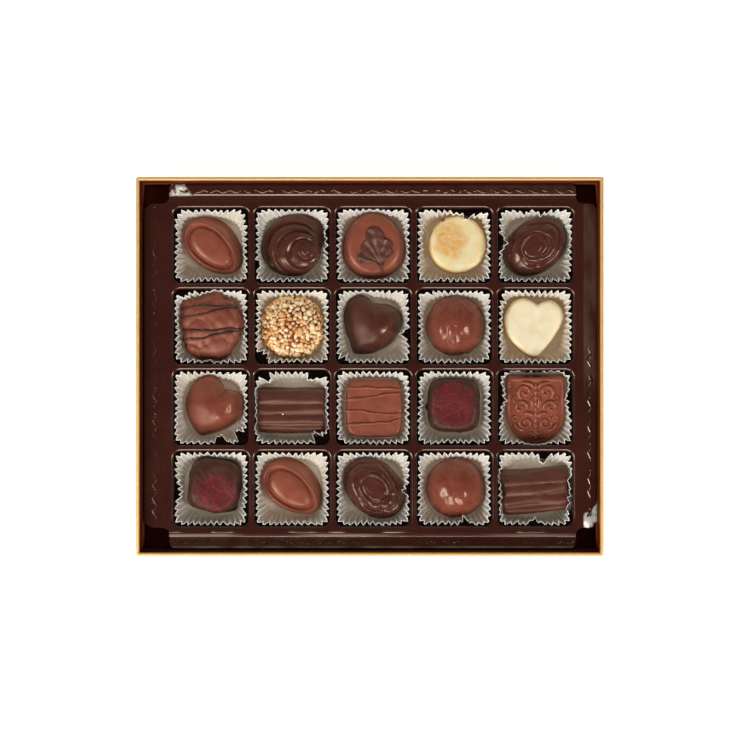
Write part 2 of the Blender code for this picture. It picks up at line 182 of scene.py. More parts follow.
def tubes(paths, section):
    """Points and faces of closed tubes along paths, which are (points, radii, flat).

    The section is a ring of (across, up) points, and flat squeezes a tube's height.
    """
    section = np.array(section)
    sides = len(section)
    parts = []
    for path, radii, flat in paths:
        ahead = np.gradient(path, axis=0)
        ahead /= np.linalg.norm(ahead, axis=1, keepdims=True) + 1e-9
        across = np.cross(ahead, (0.0, 0.0, 1.0))
        across /= np.linalg.norm(across, axis=1, keepdims=True) + 1e-9
        up = np.cross(across, ahead)
        ring = across[:, None] * section[:, :1] + up[:, None] * section[:, 1:] * flat
        ends = [range(sides), reversed(range((len(path) - 1) * sides, len(path) * sides))]
        points = path[:, None] + ring * np.reshape(radii, (-1, 1, 1))
        parts.append((points, [*grid_faces(len(path), sides), *ends]))
    return joined(parts)


def make_piece(name, points, faces, look, *nodes, smooth=True):
    """A finished piece of the frame from points in millimetres, in place of the CAD nodes."""
    material, slot = LOOKS[look]
    mesh = bpy.data.meshes.new(name)
    mesh.from_pydata((np.reshape(points, (-1, 3)) * MM).tolist(), [], [list(map(int, f)) for f in faces])
    mesh.materials.append(material)
    if smooth:
        mesh.shade_smooth()
    piece = bpy.data.objects.new(name, mesh)
    bpy.context.scene.collection.objects.link(piece)
    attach(piece, "root")
    if nodes:
        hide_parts(*nodes)
    return piece


def set_mask(piece, name, values):
    """Stores a number from 0 to 1 at every point, which a material reads."""
    layer = piece.data.attributes.new(name, "FLOAT", "POINT")
    layer.data.foreach_set("value", np.clip(values, 0, 1).astype(np.float32).ravel())


def thicken(piece, thickness, offset):
    skin = piece.modifiers.new("skin", "SOLIDIFY")
    skin.thickness = thickness * MM
    skin.offset = offset


def face_outwards(piece, merge=0):
    """Joins points closer than merge, turns the faces outwards and tells which edges are open."""
    bm = bmesh.new()
    bm.from_mesh(piece.data)
    if merge:
        bmesh.ops.remove_doubles(bm, verts=bm.verts, dist=merge * MM)
    bmesh.ops.recalc_face_normals(bm, faces=bm.faces)
    bm.to_mesh(piece.data)
    open_edges = [edge.is_boundary for edge in bm.edges]
    bm.free()
    return open_edges


# ---------------------------------------------------------------- materials


WARM = (1.0, 0.78, 0.60, 1.0)  # what brown surfaces make of white light in a highlight


class Surface:
    """A Principled material that is built up step by step."""

    def __init__(self, name, colour, roughness, **inputs):
        self.name = name
        self.material = bpy.data.materials.new(name)
        self.material.use_nodes = True
        self.tree = self.material.node_tree
        self.shader = self.tree.nodes["Principled BSDF"]
        self.set("Base Color", (*colour, 1))
        self.set("Roughness", roughness)
        for key, value in inputs.items():
            self.set(key.replace("_", " "), value)
        self.place = self.tree.nodes.new("ShaderNodeTexCoord").outputs["Object"]

    def set(self, socket, value):
        self.shader.inputs[socket].default_value = value

    def link(self, value, socket):
        """Lets a value drive one of the shader's inputs."""
        self.tree.links.new(value, self.shader.inputs[socket])
        return self

    def node(self, kind, inputs, **settings):
        """A new node whose inputs are set to a constant or linked to another node's output."""
        made = self.tree.nodes.new("ShaderNode" + kind)
        for key, value in settings.items():
            setattr(made, key, value)
        for key, value in inputs.items():
            if isinstance(value, bpy.types.NodeSocket):
                self.tree.links.new(value, made.inputs[key])
            else:
                made.inputs[key].default_value = value
        return made

    def noise(self, size, detail=3.0, stretch=None, distortion=0.0):
        """The value of a noise whose features measure size, in millimetres."""
        place = self.place
        if stretch:
            place = self.node("Mapping", {"Scale": stretch, "Vector": place}).outputs[0]
        inputs = {"Scale": 1 / (size * MM), "Detail": detail, "Distortion": distortion, "Vector": place}
        return self.node("TexNoise", inputs).outputs["Fac"]

    def spread(self, value, low, high, to_low=0.0, to_high=1.0):
        """Maps a value from the range low to high onto another range."""
        inputs = {"Value": value, "From Min": low, "From Max": high, "To Min": to_low, "To Max": to_high}
        return self.node("MapRange", inputs).outputs[0]

    def combine(self, a, b, operation="MULTIPLY"):
        return self.node("Math", {0: a, 1: b}, operation=operation).outputs[0]

    def mask(self, name):
        return self.node("Attribute", {}, attribute_name=name).outputs["Fac"]

    def ramp(self, value, dark, light, low=0.3, high=0.7):
        """Runs from the colour dark to the colour light while the value goes from low to high."""
        node = self.node("ValToRGB", {"Fac": value})
        for element, position, colour in zip(node.color_ramp.elements, (low, high), (dark, light)):
            element.position = position
            element.color = (*colour, 1)
        return node.outputs["Color"]

    def blend(self, value, under, over):
        """Lays the colour over on the colour under, by value."""
        under, over = ((*colour, 1) if isinstance(colour, tuple) else colour for colour in (under, over))
        inputs = {"Factor": value, 6: under, 7: over}  # 6 and 7 are the colour inputs A and B
        return self.node("Mix", inputs, data_type="RGBA").outputs[2]

    def colour(self, value):
        return self.link(value, "Base Color")

    def rough(self, value, low, high):
        return self.link(self.spread(value, 0.3, 0.7, low, high), "Roughness")

    def bump(self, *layers):
        """Relief from (value, depth in millimetres) layers."""
        below = {}
        for value, depth in layers:
            inputs = {"Distance": depth * MM, "Height": value, **below}
            below = {"Normal": self.node("Bump", inputs).outputs[0]}
        return self.link(below["Normal"], "Normal")


def gold_card():
    """Gold paper over card, with a painted highlight along the middle of the rim and painted shade at its
    edges.
    """
    s = Surface("gold_card", (0.86, 0.52, 0.16), 0.42, Metallic=0.4)
    fibres = s.noise(0.9, 4, stretch=(1, 1, 3))
    # Painted shade on the rim's rounded edges and a painted highlight along its middle, blended by the shine
    # mask.
    edge = s.ramp(fibres, (0.62, 0.28, 0.055), (0.74, 0.37, 0.09))
    core = s.ramp(fibres, (0.96, 0.62, 0.22), (1.0, 0.74, 0.32))
    s.colour(s.blend(s.mask("shine"), edge, core))
    s.rough(s.noise(5), 0.32, 0.46)
    return s.bump((fibres, 0.05), (s.noise(0.25, 2), 0.02))


def brown_lining():
    """Brown paper, painted lighter and redder low down as bounce light."""
    s = Surface("brown_lining", (0.10, 0.014, 0.004), 0.5, Specular_Tint=WARM)
    high = s.ramp(s.noise(3), (0.085, 0.012, 0.0035), (0.115, 0.017, 0.005))
    # Painted bounce light: the shine mask makes the lining lighter and redder low down.
    s.colour(s.blend(s.mask("shine"), high, (0.42, 0.065, 0.018)))
    return s.bump((s.noise(0.4, 3), 0.03))


def tray_film(name, shine):
    """Thin brown plastic: whitish streaks where it is crumpled, a painted sheen and painted highlight lines.
    """
    s = Surface(name, (0.045, 0.0105, 0.0070), 0.2, Specular_Tint=WARM, Specular_IOR_Level=shine)
    base = s.ramp(s.noise(14, 2), (0.038, 0.0082, 0.0055), (0.048, 0.0110, 0.0072))
    # Painted sheen: a broad painted reflection, olive grey, over parts of the flaps.
    reflection_amount = s.combine(s.mask("sheen"), s.spread(s.noise(5, 4, stretch=(1, 0.3, 1)), 0.3, 0.62))
    base = s.blend(reflection_amount, base, (0.088, 0.046, 0.031))
    # Painted highlights: pale lines along the near flap's outer edge and its crease.
    base = s.blend(s.mask("painted_highlights"), base, (0.32, 0.245, 0.18))
    # The whitish streaks where the film is crumpled are partly stress whitening and partly a painted
    # reflection.
    streaks = s.spread(s.noise(2.8, 2, stretch=(0.6, 0.6, 1), distortion=0.6), 0.36, 0.50)
    s.colour(s.blend(s.combine(streaks, s.mask("crumpled")), base, (0.56, 0.53, 0.48)))
    s.rough(s.noise(9), 0.14, 0.26)
    return s.bump((s.noise(7, 2), 0.10), (s.noise(0.5, 2), 0.006))


def cup_paper():
    """White paper: its cut edge whitest (partly a painted highlight); low down warmer and with a painted
    glow.
    """
    s = Surface("cup_paper", (0.84, 0.80, 0.71), 0.45, Specular_IOR_Level=0.4)
    fibre = s.noise(1.1, 5)
    high = s.ramp(fibre, (0.80, 0.76, 0.67), (0.88, 0.85, 0.77), 0.25, 0.75)
    # Low down the paper is warmer: partly grease, partly painted warm bounce light.
    deep = s.ramp(s.noise(6, 3), (0.80, 0.71, 0.58), (0.90, 0.83, 0.71))
    sides = s.blend(s.spread(s.mask("depth"), 0.10, 0.8), high, deep)
    # Near white along the cut edge: partly the edge's own whiteness, partly a painted highlight.
    s.colour(s.blend(s.spread(s.mask("depth"), 0.05, 0.01), sides, (0.97, 0.96, 0.91)))
    # Painted glow: emission low down stands in for light that comes through the paper and bounces round the
    # praline.
    s.set("Emission Color", (1.0, 0.84, 0.62, 1))
    s.link(s.spread(s.mask("depth"), 0.25, 0.8, 0.0, 0.075), "Emission Strength")
    s.rough(s.noise(2), 0.36, 0.55)
    return s.bump((fibre, 0.06), (s.noise(0.3, 3), 0.02))


def chocolate(name, dark, light, gloss, relief=1.0, **inputs):
    """Smooth chocolate: slightly mottled, duller where it has been rubbed, with fine pits."""
    s = Surface(name, light, sum(gloss) / 2, Specular_Tint=WARM, **inputs)
    s.colour(s.ramp(s.noise(4.5, 4, distortion=0.3), dark, light, 0.32, 0.68))
    rubbed = s.spread(s.mask("dull"), 0, 1, 0.1, 0.47)
    s.link(s.combine(s.spread(s.noise(2.5, 4), 0.3, 0.7, *gloss), rubbed, "MAXIMUM"), "Roughness")
    return s.bump((s.noise(2.2, 3), 0.10 * relief), (s.noise(0.45, 3), 0.012 * relief))


def white_chocolate(name, dusted=False):
    """White chocolate with painted shade on its sides, darker and golden; the button is also browned by a
    dusting.
    """
    dark, light = (0.85, 0.71, 0.44), (0.92, 0.81, 0.57)
    s = chocolate(name, dark, light, (0.36, 0.5), 0.6, Subsurface_Weight=0.12)
    s.set("Subsurface Radius", (0.004, 0.003, 0.0015))
    if dusted:
        plain = s.ramp(s.noise(6, 3), (0.80, 0.64, 0.31), (0.86, 0.74, 0.45), 0.32, 0.68)
    else:
        plain = s.ramp(s.noise(4.5, 4), dark, light, 0.32, 0.68)
    # Painted shade: the sides, where less light falls, are painted darker and more golden than the top.
    plain = s.blend(s.mask("edge"), plain, (0.72, 0.44, 0.13))
    if dusted:
        dust = s.combine(s.mask("dusted"), s.spread(s.noise(2.2, 5), 0.10, 0.62))
        plain = s.blend(dust, plain, (0.78, 0.43, 0.12))
        grains = s.combine(s.mask("dusted"), s.spread(s.noise(0.5, 3), 0.60, 0.72))
        plain = s.blend(grains, plain, (0.66, 0.26, 0.06))
    return s.colour(plain)


def berry_chocolate():
    """Dark chocolate under a dusting of ground raspberry."""
    dark, light = (0.050, 0.016, 0.011), (0.072, 0.023, 0.016)
    s = chocolate("berry_dusted_chocolate", dark, light, (0.36, 0.52), Specular_IOR_Level=0.32)
    plain = s.ramp(s.noise(4.5, 4), (0.048, 0.0155, 0.0115), (0.070, 0.0225, 0.0165), 0.32, 0.68)
    dust = s.combine(s.mask("dusted"), s.spread(s.noise(0.7, 5), 0.42, 0.66))
    return s.colour(s.blend(dust, plain, (0.19, 0.013, 0.018)))


def nut_bits():
    """Chopped nuts, each with its own shade from cream to caramel."""
    s = Surface("chopped_nut", (0.80, 0.56, 0.28), 0.42, Subsurface_Weight=0.1)
    s.set("Subsurface Radius", (0.002, 0.0012, 0.0006))
    cream = s.ramp(s.noise(1.2, 3), (0.90, 0.54, 0.22), (0.98, 0.81, 0.51), 0.3, 0.6)
    s.colour(s.blend(s.spread(s.mask("shade"), 0.42, 1.0), cream, (0.74, 0.31, 0.07)))
    s.rough(s.noise(1), 0.34, 0.5)
    return s.bump((s.noise(0.6, 4), 0.05))


def crumbs(name, colour, roughness, dark, light):
    s = Surface(name, colour, roughness)
    s.colour(s.ramp(s.noise(0.8), dark, light))
    return s.bump((s.noise(0.3), 0.05))


def make_looks():
    """Every look by its name, as its material and its slot."""
    milk = (0.230, 0.059, 0.033), (0.285, 0.075, 0.042)
    glossy = (0.072, 0.0195, 0.0130), (0.098, 0.0275, 0.0185)
    slots = {
        "gold_card": (gold_card(), brown_lining()),
        "tray_plastic": (tray_film("tray_film", 0.6), tray_film("tray_film_strokes", 0.95)),
        "cup_paper": (cup_paper(),),
        "milk_chocolate": (
            chocolate("milk_chocolate", *milk, (0.27, 0.42)),
            chocolate("polished_milk_chocolate", *milk, (0.17, 0.28)),
            chocolate("shiny_milk_chocolate", (0.185, 0.045, 0.025), (0.240, 0.060, 0.034), (0.14, 0.26)),
            chocolate("cluster_chocolate", (0.215, 0.056, 0.033), (0.285, 0.078, 0.046), (0.36, 0.50)),
        ),
        "dark_chocolate": (
            chocolate("dark_chocolate", (0.088, 0.024, 0.015), (0.118, 0.033, 0.021), (0.34, 0.48), 0.7),
            chocolate("glossy_dark_chocolate", *glossy, (0.15, 0.28), 0.7),
            chocolate("leaf_chocolate", (0.090, 0.030, 0.021), (0.135, 0.046, 0.033), (0.34, 0.46)),
            chocolate("drizzle_chocolate", (0.065, 0.018, 0.012), (0.090, 0.026, 0.018), (0.26, 0.38), 0.4),
        ),
        "white_chocolate": (
            white_chocolate("white_chocolate"),
            white_chocolate("toasted_white_chocolate", dusted=True),
        ),
        "berry_dusted_chocolate": (
            berry_chocolate(),
            crumbs("raspberry_crumb", (0.24, 0.012, 0.032), 0.55, (0.20, 0.008, 0.018), (0.50, 0.036, 0.062)),
        ),
        "chopped_nut": (
            nut_bits(),
            chocolate("nut_core", (0.22, 0.046, 0.014), (0.34, 0.078, 0.023), (0.4, 0.55)),
            chocolate("toasted_blot", (0.14, 0.04, 0.012), (0.20, 0.06, 0.02), (0.4, 0.5)),
            crumbs("toasted_crumb", (0.62, 0.27, 0.07), 0.6, (0.42, 0.14, 0.03), (0.74, 0.36, 0.11)),
        ),
    }
    return {s.name: (s.material, slot) for slot, surfaces in slots.items() for s in surfaces}


LOOKS = make_looks()


# ---------------------------------------------------------------- box


def build_box():
    """The card box: gold paper outside and over the rim, brown paper inside."""
    half_x, half_y, top = np.array(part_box("box")[1]) / MM
    board, rim_round, slant = 1.7, 0.8, 0.8
    steps = 5  # along each of the box's corners
    # The profile runs from under the box, up its outside, over the rim and down inside to the floor.
    arc = np.linspace(0, math.pi / 2, 6)
    in_by, up_by = rim_round * (1 - np.cos(arc)), rim_round * (1 - np.sin(arc))
    foot = [(-b, a) for a, b in zip(in_by, up_by)]
    outside = [(0, z) for z in np.linspace(rim_round + 2, top - rim_round - 1.5, 8)]
    outer_lip = [(-a, top - b) for a, b in zip(in_by, up_by)]
    inner_lip = [(-board + b, top - a) for a, b in zip(in_by, up_by)]
    gold = [(-board - 6, 0.0), *foot, *outside, *outer_lip, *inner_lip, (-board, top - 1.4)]
    brown = [(-board - slant * t, top - 1.4 - 4.6 * t) for t in (0, 0.2, 0.5, 0.8, 1)]
    brown += [(-board - slant, z) for z in np.linspace(top - 8, board + 0.6, 8)]
    brown += [(-board - 1.0, board + 0.1), (-board - 2.3, board)]
    corners = [np.linspace(0, math.pi / 2, steps) + k * math.pi / 2 for k in range(4)]
    columns = 4 * steps

    def rings(profile):
        """The box's outline with small round corners, drawn in by each inset of the profile."""
        rows = []
        for inset, z in profile:
            radius = max(0.9 + inset, 0.25)
            straight = (half_x + inset - radius, half_y + inset - radius)
            flat = [s * np.array(straight) + radius * circle(a) for s, a in zip(CORNER_SIGNS, corners)]
            rows.append(np.column_stack([np.vstack(flat), np.full(columns, z)]))
        return np.array(rows)

    gold_rows, brown_rows = rings(gold), rings(brown)
    gold_faces = [*grid_faces(len(gold), columns), reversed(range(columns))]
    brown_faces = [*grid_faces(len(brown), columns), range((len(brown) - 1) * columns, len(brown) * columns)]
    points, faces = joined([(gold_rows, gold_faces), (brown_rows, brown_faces)])
    box = make_piece("box_dressed", points, faces, "gold_card", "box")
    box.data.materials.append(LOOKS["brown_lining"][0])
    box.data.polygons.foreach_set("material_index", [0] * len(gold_faces) + [1] * len(brown_faces))
    # The near and the right side of the rim get less light, so their pale core is weaker.
    facing = circle(np.concatenate(corners))
    by_side = 1 - 0.45 * np.clip(-facing[:, 1], 0, 1) - 0.25 * np.clip(facing[:, 0], 0, 1)
    # The shine mask holds painted light: the rim's painted highlight and the lining's painted bounce light
    # low down.
    rim = [by_side * peak(inset, -board / 2, 0.42) * (z > top - 1) for inset, z in gold]
    set_mask(box, "shine", np.append(rim, smoothstep(top - 5.5, top - 9, brown_rows[..., 2])))
    box.data.set_sharp_from_angle(angle=math.radians(50))


# ---------------------------------------------------------------- tray


def well_centre(column, row):
    return GRID + PITCH * np.array((column - (COLUMNS - 1) / 2, (ROWS - 1) / 2 - row))


def square_ring(half, radius, z, per_side=16, straight=0.7):
    """Points round a square. A radius gives it round corners, and per_side points always match up."""
    points = []
    for k in range(4):
        out = np.array((math.cos(k * math.pi / 2), math.sin(k * math.pi / 2)))
        side = np.array((-out[1], out[0]))
        for i in range(per_side):
            u = -1 + 2 * i / per_side
            if radius == 0:
                flat = out * half + side * half * u
            elif abs(u) <= straight:
                flat = out * half + side * (half - radius) * u / straight
            else:
                turn = (abs(u) - straight) / (1 - straight) * math.pi / 4
                sign = math.copysign(1, u)
                centre = out * (half - radius) + side * sign * (half - radius)
                flat = centre + radius * (out * math.cos(turn) + side * sign * math.sin(turn))
            points.append((*flat, z))
    return points


def well_rings():
    """Half size, corner radius and height of a well's rings, from the deck down to the floor."""
    rings = [(PITCH / 2, 0, DECK_Z)]
    rings += [(WELL_TOP + out, WELL_ROUND + out, DECK_Z - down) for out, down in WELL_LIP]
    for t in (0.45, 0.9):
        rings.append((WELL_TOP + (WELL_BOTTOM - WELL_TOP) * t, WELL_ROUND, DECK_Z - 1.3 - 17 * t))
    for a in np.linspace(0, math.pi / 2, 3):
        inward = WELL_FOOT_ROUND * (1 - math.cos(a))
        height = WELL_FLOOR_Z + WELL_FOOT_ROUND * (1 - math.sin(a))
        rings.append((WELL_BOTTOM - inward, WELL_ROUND - inward, height))
    return [*rings, (8, 1.6, WELL_FLOOR_Z)]


class Side:
    """One side of the deck with its flap, which slopes up to the box.

    It is given by the way out, the distances of its crease and of its flap's edge from the origin, the radius
    of the flap's corners, the height of the bead (or groove) along the crease and the seed of its unevenness.
    zigzag is the wavy line's share of the flap's width, where it stops (from 0 to 1) and its height. sheen is
    the middle, half length and strength of a painted sheen, a broad painted reflection on the flap. crumpled
    is the end (0 or 1) where the flap is crumpled, and how far along the crease and along the flap's edge.
    The last flag paints pale highlight lines along the flap's edge and its crease.
    """

    def __init__(
        self, out, crease, edge, corner, bead, seed, zigzag, sheen=(0, 1, 0), crumpled=None, painted_highlights=False
    ):
        self.out = np.array(out, float)
        self.along = np.array((-self.out[1], self.out[0]))
        self.middle = GRID + self.out * (abs(self.out) @ HALF_GRID)
        self.length = abs(self.along) @ HALF_GRID
        self.margin = crease - abs(self.out) @ HALF_GRID - self.out @ GRID
        self.flap = edge - crease
        self.corner, self.bead, self.seed = corner, bead, seed
        self.zigzag, self.sheen, self.crumpled, self.painted_highlights = zigzag, sheen, crumpled, painted_highlights

    def at(self, d, s):
        """Points at the distance d out from the grid's edge and s along it."""
        return self.middle + self.out * np.reshape(d, (-1, 1)) + self.along * np.reshape(s, (-1, 1))

    def profile(self):
        """(distance, height) rows from the grid's edge outwards: deck, crease, the flap and its lip."""
        steps = [self.margin * t for t in (0, 0.14, 0.3, 0.46)]
        steps += list(self.margin + np.linspace(-2.4, 1.2, 21))
        profile = []
        for d in sorted({round(float(d), 3) for d in steps if d >= 0}):
            clear = self.bead * peak(d, self.margin, 0.72)
            faint = 0.4 * abs(self.bead) * peak(d, self.margin - 1.6, 0.5)
            profile.append((d, clear + faint + FLAP_RISE * max(0.0, d - self.margin) / self.flap))
        for t in (0.38, 0.5, 0.62, 0.74):
            profile.append((self.margin + self.flap * t, FLAP_RISE * t + 0.16 * math.sin(math.pi * t)))
        profile += [(self.margin + self.flap - inside, FLAP_RISE - down) for inside, down in FLAP_LIP]
        return np.array(profile) + (0, DECK_Z)

    def end_offset(self, d, along):
        """How far the strip's end lies beyond the grid's corner at distance d; along is the next margin."""
        meets = self.margin * (1 - NOTCH / math.hypot(along, self.margin))
        if d <= meets:
            return along * d / self.margin
        if d <= self.margin:
            return along - math.sqrt(max(0.0, NOTCH**2 - (self.margin - d) ** 2))
        past = min(max(0.0, d - self.margin - (self.flap - self.corner)), self.corner)
        return along - NOTCH - (self.corner - math.sqrt(max(0.0, self.corner**2 - past**2)))

    def strip(self, before, after, columns=180):
        """The margin and its flap as rows of points, between the margins on either side, and its masks."""
        even = np.linspace(0, 1, columns)
        u = 0.6 * even + 0.2 * (1 - np.cos(math.pi * even))  # closer together near the ends
        rows = []
        for d, z in self.profile():
            start = -self.length - self.end_offset(d, before)
            end = self.length + self.end_offset(d, after)
            rows.append(np.column_stack([self.at(d, start + (end - start) * u), np.full(columns, z)]))
        rows = np.array(rows)
        flat, height = rows[..., :2], rows[..., 2]
        beyond = (flat - self.middle) @ self.out - self.margin
        sway = 0.10 * waves(flat, 26, self.seed) + 0.03 * waves(flat, 5, self.seed + 20)
        height += sway * smoothstep(0.3, 4, beyond)
        lenses = max(self.bead, 0) * 0.7 * np.clip(waves(flat * 0.12, 2.2, self.seed + 60), -0.4, 1.2)
        height += lenses * peak(beyond, -1.6, 0.62) * smoothstep(0.0, 0.5, beyond + self.margin)
        # Painted sheen: a broad painted reflection over part of the flap.
        middle, half_length, strength = self.sheen
        ends = 1 - smoothstep(0.7, 1.0, np.abs(u - middle) / half_length)
        masks = {"sheen": strength * smoothstep(-0.2, 0.4, beyond) * ends}
        masks["painted_highlights"] = masks["crumpled"] = np.zeros(height.shape)
        # Painted highlights: pale lines along the flap's outer edge and along the crease.
        if self.painted_highlights:
            edge_highlight = peak(beyond, self.flap - 0.72, 0.34) * (0.75 + 0.25 * waves(flat, 14, 9))
            crease_highlight = peak(beyond, -0.1, 0.45) * np.clip(0.5 + 0.6 * waves(flat * (1, 0), 60, 12), 0.1, 1)
            masks["painted_highlights"] = edge_highlight + crease_highlight
        # Crumpled: folds in the height, and the mask for whitish streaks, partly stress whitening, partly
        # painted reflection.
        if self.crumpled:
            end, at_crease, at_edge = self.crumpled
            limit = at_crease + (at_edge - at_crease) * np.clip(beyond / self.flap, 0, 1)
            limit = limit + 0.7 * waves(flat, 5, self.seed + 41)
            near_end = 1 - smoothstep(limit - 0.8, limit, abs(u - end) * 2 * self.length)
            masks["crumpled"] = near_end * smoothstep(-0.2, 0.6, beyond)
            folds = np.abs(waves(flat, 8.0, self.seed + 40, 8)) - 0.6
            height += 0.6 * folds * masks["crumpled"]
        return rows, masks


# Anticlockwise from the near side
SIDES = (
    Side((0, -1), 76.4, 82.6, 3.4, 0.43, 3, zigzag=(0.52, 1.0, 0.14), sheen=(0.0, 0.62, 0.35), painted_highlights=True),
    Side(
        (1, 0), 96.7, 102.9, 3.8, 0.08, 4, zigzag=(0.46, 0.56, 0.36), sheen=(1.0, 0.66, 0.9),
        crumpled=(0, 6.5, 9.5),
    ),
    Side(
        (0, 1), 77.2, 82.7, 2.5, -0.38, 5, zigzag=(0.42, 1.0, 0.32), sheen=(0.0, 0.3, 0.25),
        crumpled=(1, 10.5, 6.0),
    ),
    Side((-1, 0), 94.2, 102.3, 5.0, 0.06, 6, zigzag=(0.42, 1.0, 0.16)),
)


def build_tray():
    """The formed tray as one sheet: twenty wells, the deck between them and the flaps."""
    rings = np.array([square_ring(*ring) for ring in well_rings()])
    rows, columns = rings.shape[:2]
    well_faces = [*grid_faces(rows, columns)[:, ::-1], range((rows - 1) * columns, rows * columns)]
    wells = [rings + (*well_centre(column, row), 0) for row in range(ROWS) for column in range(COLUMNS)]
    strips = [side.strip(SIDES[k - 1].margin, SIDES[(k + 1) % 4].margin) for k, side in enumerate(SIDES)]
    parts = [(well, well_faces) for well in wells]
    parts += [(strip, grid_faces(*strip.shape[:2], wrap=False)) for strip, _ in strips]
    tray = make_piece("tray_dressed", *joined(parts), "tray_film", "tray")
    for name in ("crumpled", "sheen", "painted_highlights"):
        in_wells = np.zeros(len(wells) * rows * columns)
        set_mask(tray, name, np.concatenate([in_wells, *(masks[name].ravel() for _, masks in strips)]))
    open_edges = face_outwards(tray, merge=0.004)
    tray.data.shade_smooth()
    # The border is sharp, so that the sheet's thin edge doesn't tint its face.
    border = tray.data.attributes.new("sharp_edge", "BOOLEAN", "EDGE")
    border.data.foreach_set("value", open_edges)
    thicken(tray, SHEET, -1)


def build_zigzags():
    """The wavy lines pressed into the flaps, broken here and there."""
    wave, swing, half_width = 5.9, 0.75, 0.78
    section = [(u, 0.5 + 0.5 * math.cos(math.pi * u)) for u in np.linspace(1, -1, 10)]
    paths = []
    for side in SIDES:
        share, stop, height = side.zigzag
        pick = np.random.default_rng(side.seed)
        length = side.length - 1
        s, last = -length, -length + 2 * length * stop
        while s < last:
            run = wave * pick.choice((0.5, 1.0, 1.5, 1.5, 2.5))
            t = np.arange(s, min(s + run, last), wave / 12)
            if len(t) > 3:
                zig = 4 * np.abs((t / wave) % 1 - 0.5) - 1
                d = side.margin + side.flap * share + swing * zig * pick.uniform(0.7, 1.1)
                z = np.interp(d, *side.profile().T) - 0.01
                taper = np.sin(np.linspace(0.15, math.pi - 0.15, len(t))) ** 0.4
                paths.append((np.column_stack([side.at(d, t), z]), half_width * taper, height))
            s += run + wave * pick.choice((0.0, 0.1, 0.25, 0.5))
    make_piece("tray_zigzags", *tubes(paths, [*section, (-0.9, -0.6), (0.9, -0.6)]), "tray_film_strokes")


# ---------------------------------------------------------------- paper cups

# Where a cup is dented: direction in degrees, width in degrees, how far in and how far down, in
# millimetres. A cup that isn't listed is only a little uneven.
DENTS = {
    "r1c1": ((137, 7, 1.2, 0.6), (40, 10, 1.0, 0.3)),
    "r1c2": ((210, 6, 1.6, 0.8), (20, 9, 1.0, 0.4)),
    "r1c4": ((64, 17, 3.6, 1.4), (88, 8, 0.8, 0.2)),
    "r1c5": ((174, 11, 3.3, 0.6), (78, 9, 1.7, 0.8), (108, 8, 0.9, 0.3)),
    "r2c1": ((130, 9, 2.4, 0.8), (108, 18, 0.5, 0.5), (-95, 12, 0.6, 1.2)),
    "r2c2": ((225, 8, 5.2, 4.0),),
    "r2c3": ((-14, 7, 4.2, 1.0), (228, 5, 2.4, 1.0)),
    "r2c4": ((128, 6, 1.3, 0.5),),
    "r2c5": ((140, 5, 1.6, 0.6),),
    "r3c1": ((-73, 8, 4.8, 4.0), (-43, 9, 5.2, 4.0)),
    "r3c2": ((131, 8, 4.4, 1.4), (54, 11, 4.4, 1.4), (-47, 9, 5.4, 3.5), (200, 6, 1.2, 0.5)),
    "r3c4": ((135, 6, 0.8, 0.3),),
    "r3c5": ((160, 26, 2.2, 0.6), (14, 26, 1.6, 0.6), (90, 38, -0.2, 12.0), (-90, 26, 0.2, 0.0)),
    "r4c1": ((184, 17, 2.0, 0.4), (-32, 6, 1.4, 0.5)),
    "r4c3": ((-2, 10, 2.4, 0.5),),
    "r4c4": ((-72, 7, 2.8, 1.6),),
    "r4c5": ((76, 8, 5.2, 1.4), (-92, 8, 2.6, 2.0), (-24, 17, 3.4, 1.2), (10, 12, 1.2, 0.4)),
}
DENT_FOCUS = 1.6  # makes the dents narrower than their widths say
# A cup's rows, as shares of its height and, on its floor, of the floor's size
CUP_LEVELS = np.array((0, 0.015, 0.06, 0.15, 0.28, 0.42, 0.56, 0.69, 0.81, 0.9, 0.96, 1.0))
FLOOR_SHARES = np.array((0.4, 0.7, 0.87, 0.95))


def even_angles(count, half, power):
    """Directions that divide the outline into equal lengths."""
    fine = np.linspace(0, TURN, 2881)
    along = travelled(circle(fine) * (reach_at(fine, 1, 1, power) * half)[:, None])
    return np.interp(np.arange(count) / count * along[-1], along, fine)


def reach_of(piece, centre):
    """How far a praline reaches from its well's middle, by height and direction, in bins."""
    heights, directions = 12, 90
    table = np.zeros((heights, directions))
    co = np.array([v.co for v in piece.data.vertices]) / MM
    flat = co[:, :2] - centre
    slot = ((np.arctan2(flat[:, 1], flat[:, 0]) / TURN % 1) * directions).astype(int) % directions
    level = ((co[:, 2] - CUP_FLOOR_Z) / (CUP_RIM_Z - CUP_FLOOR_Z) * heights).astype(int)
    np.maximum.at(table, (np.clip(level, 0, heights - 1), slot), np.hypot(*flat.T))
    return np.maximum(np.maximum(table, np.roll(table, 1, 1)), np.roll(table, -1, 1))


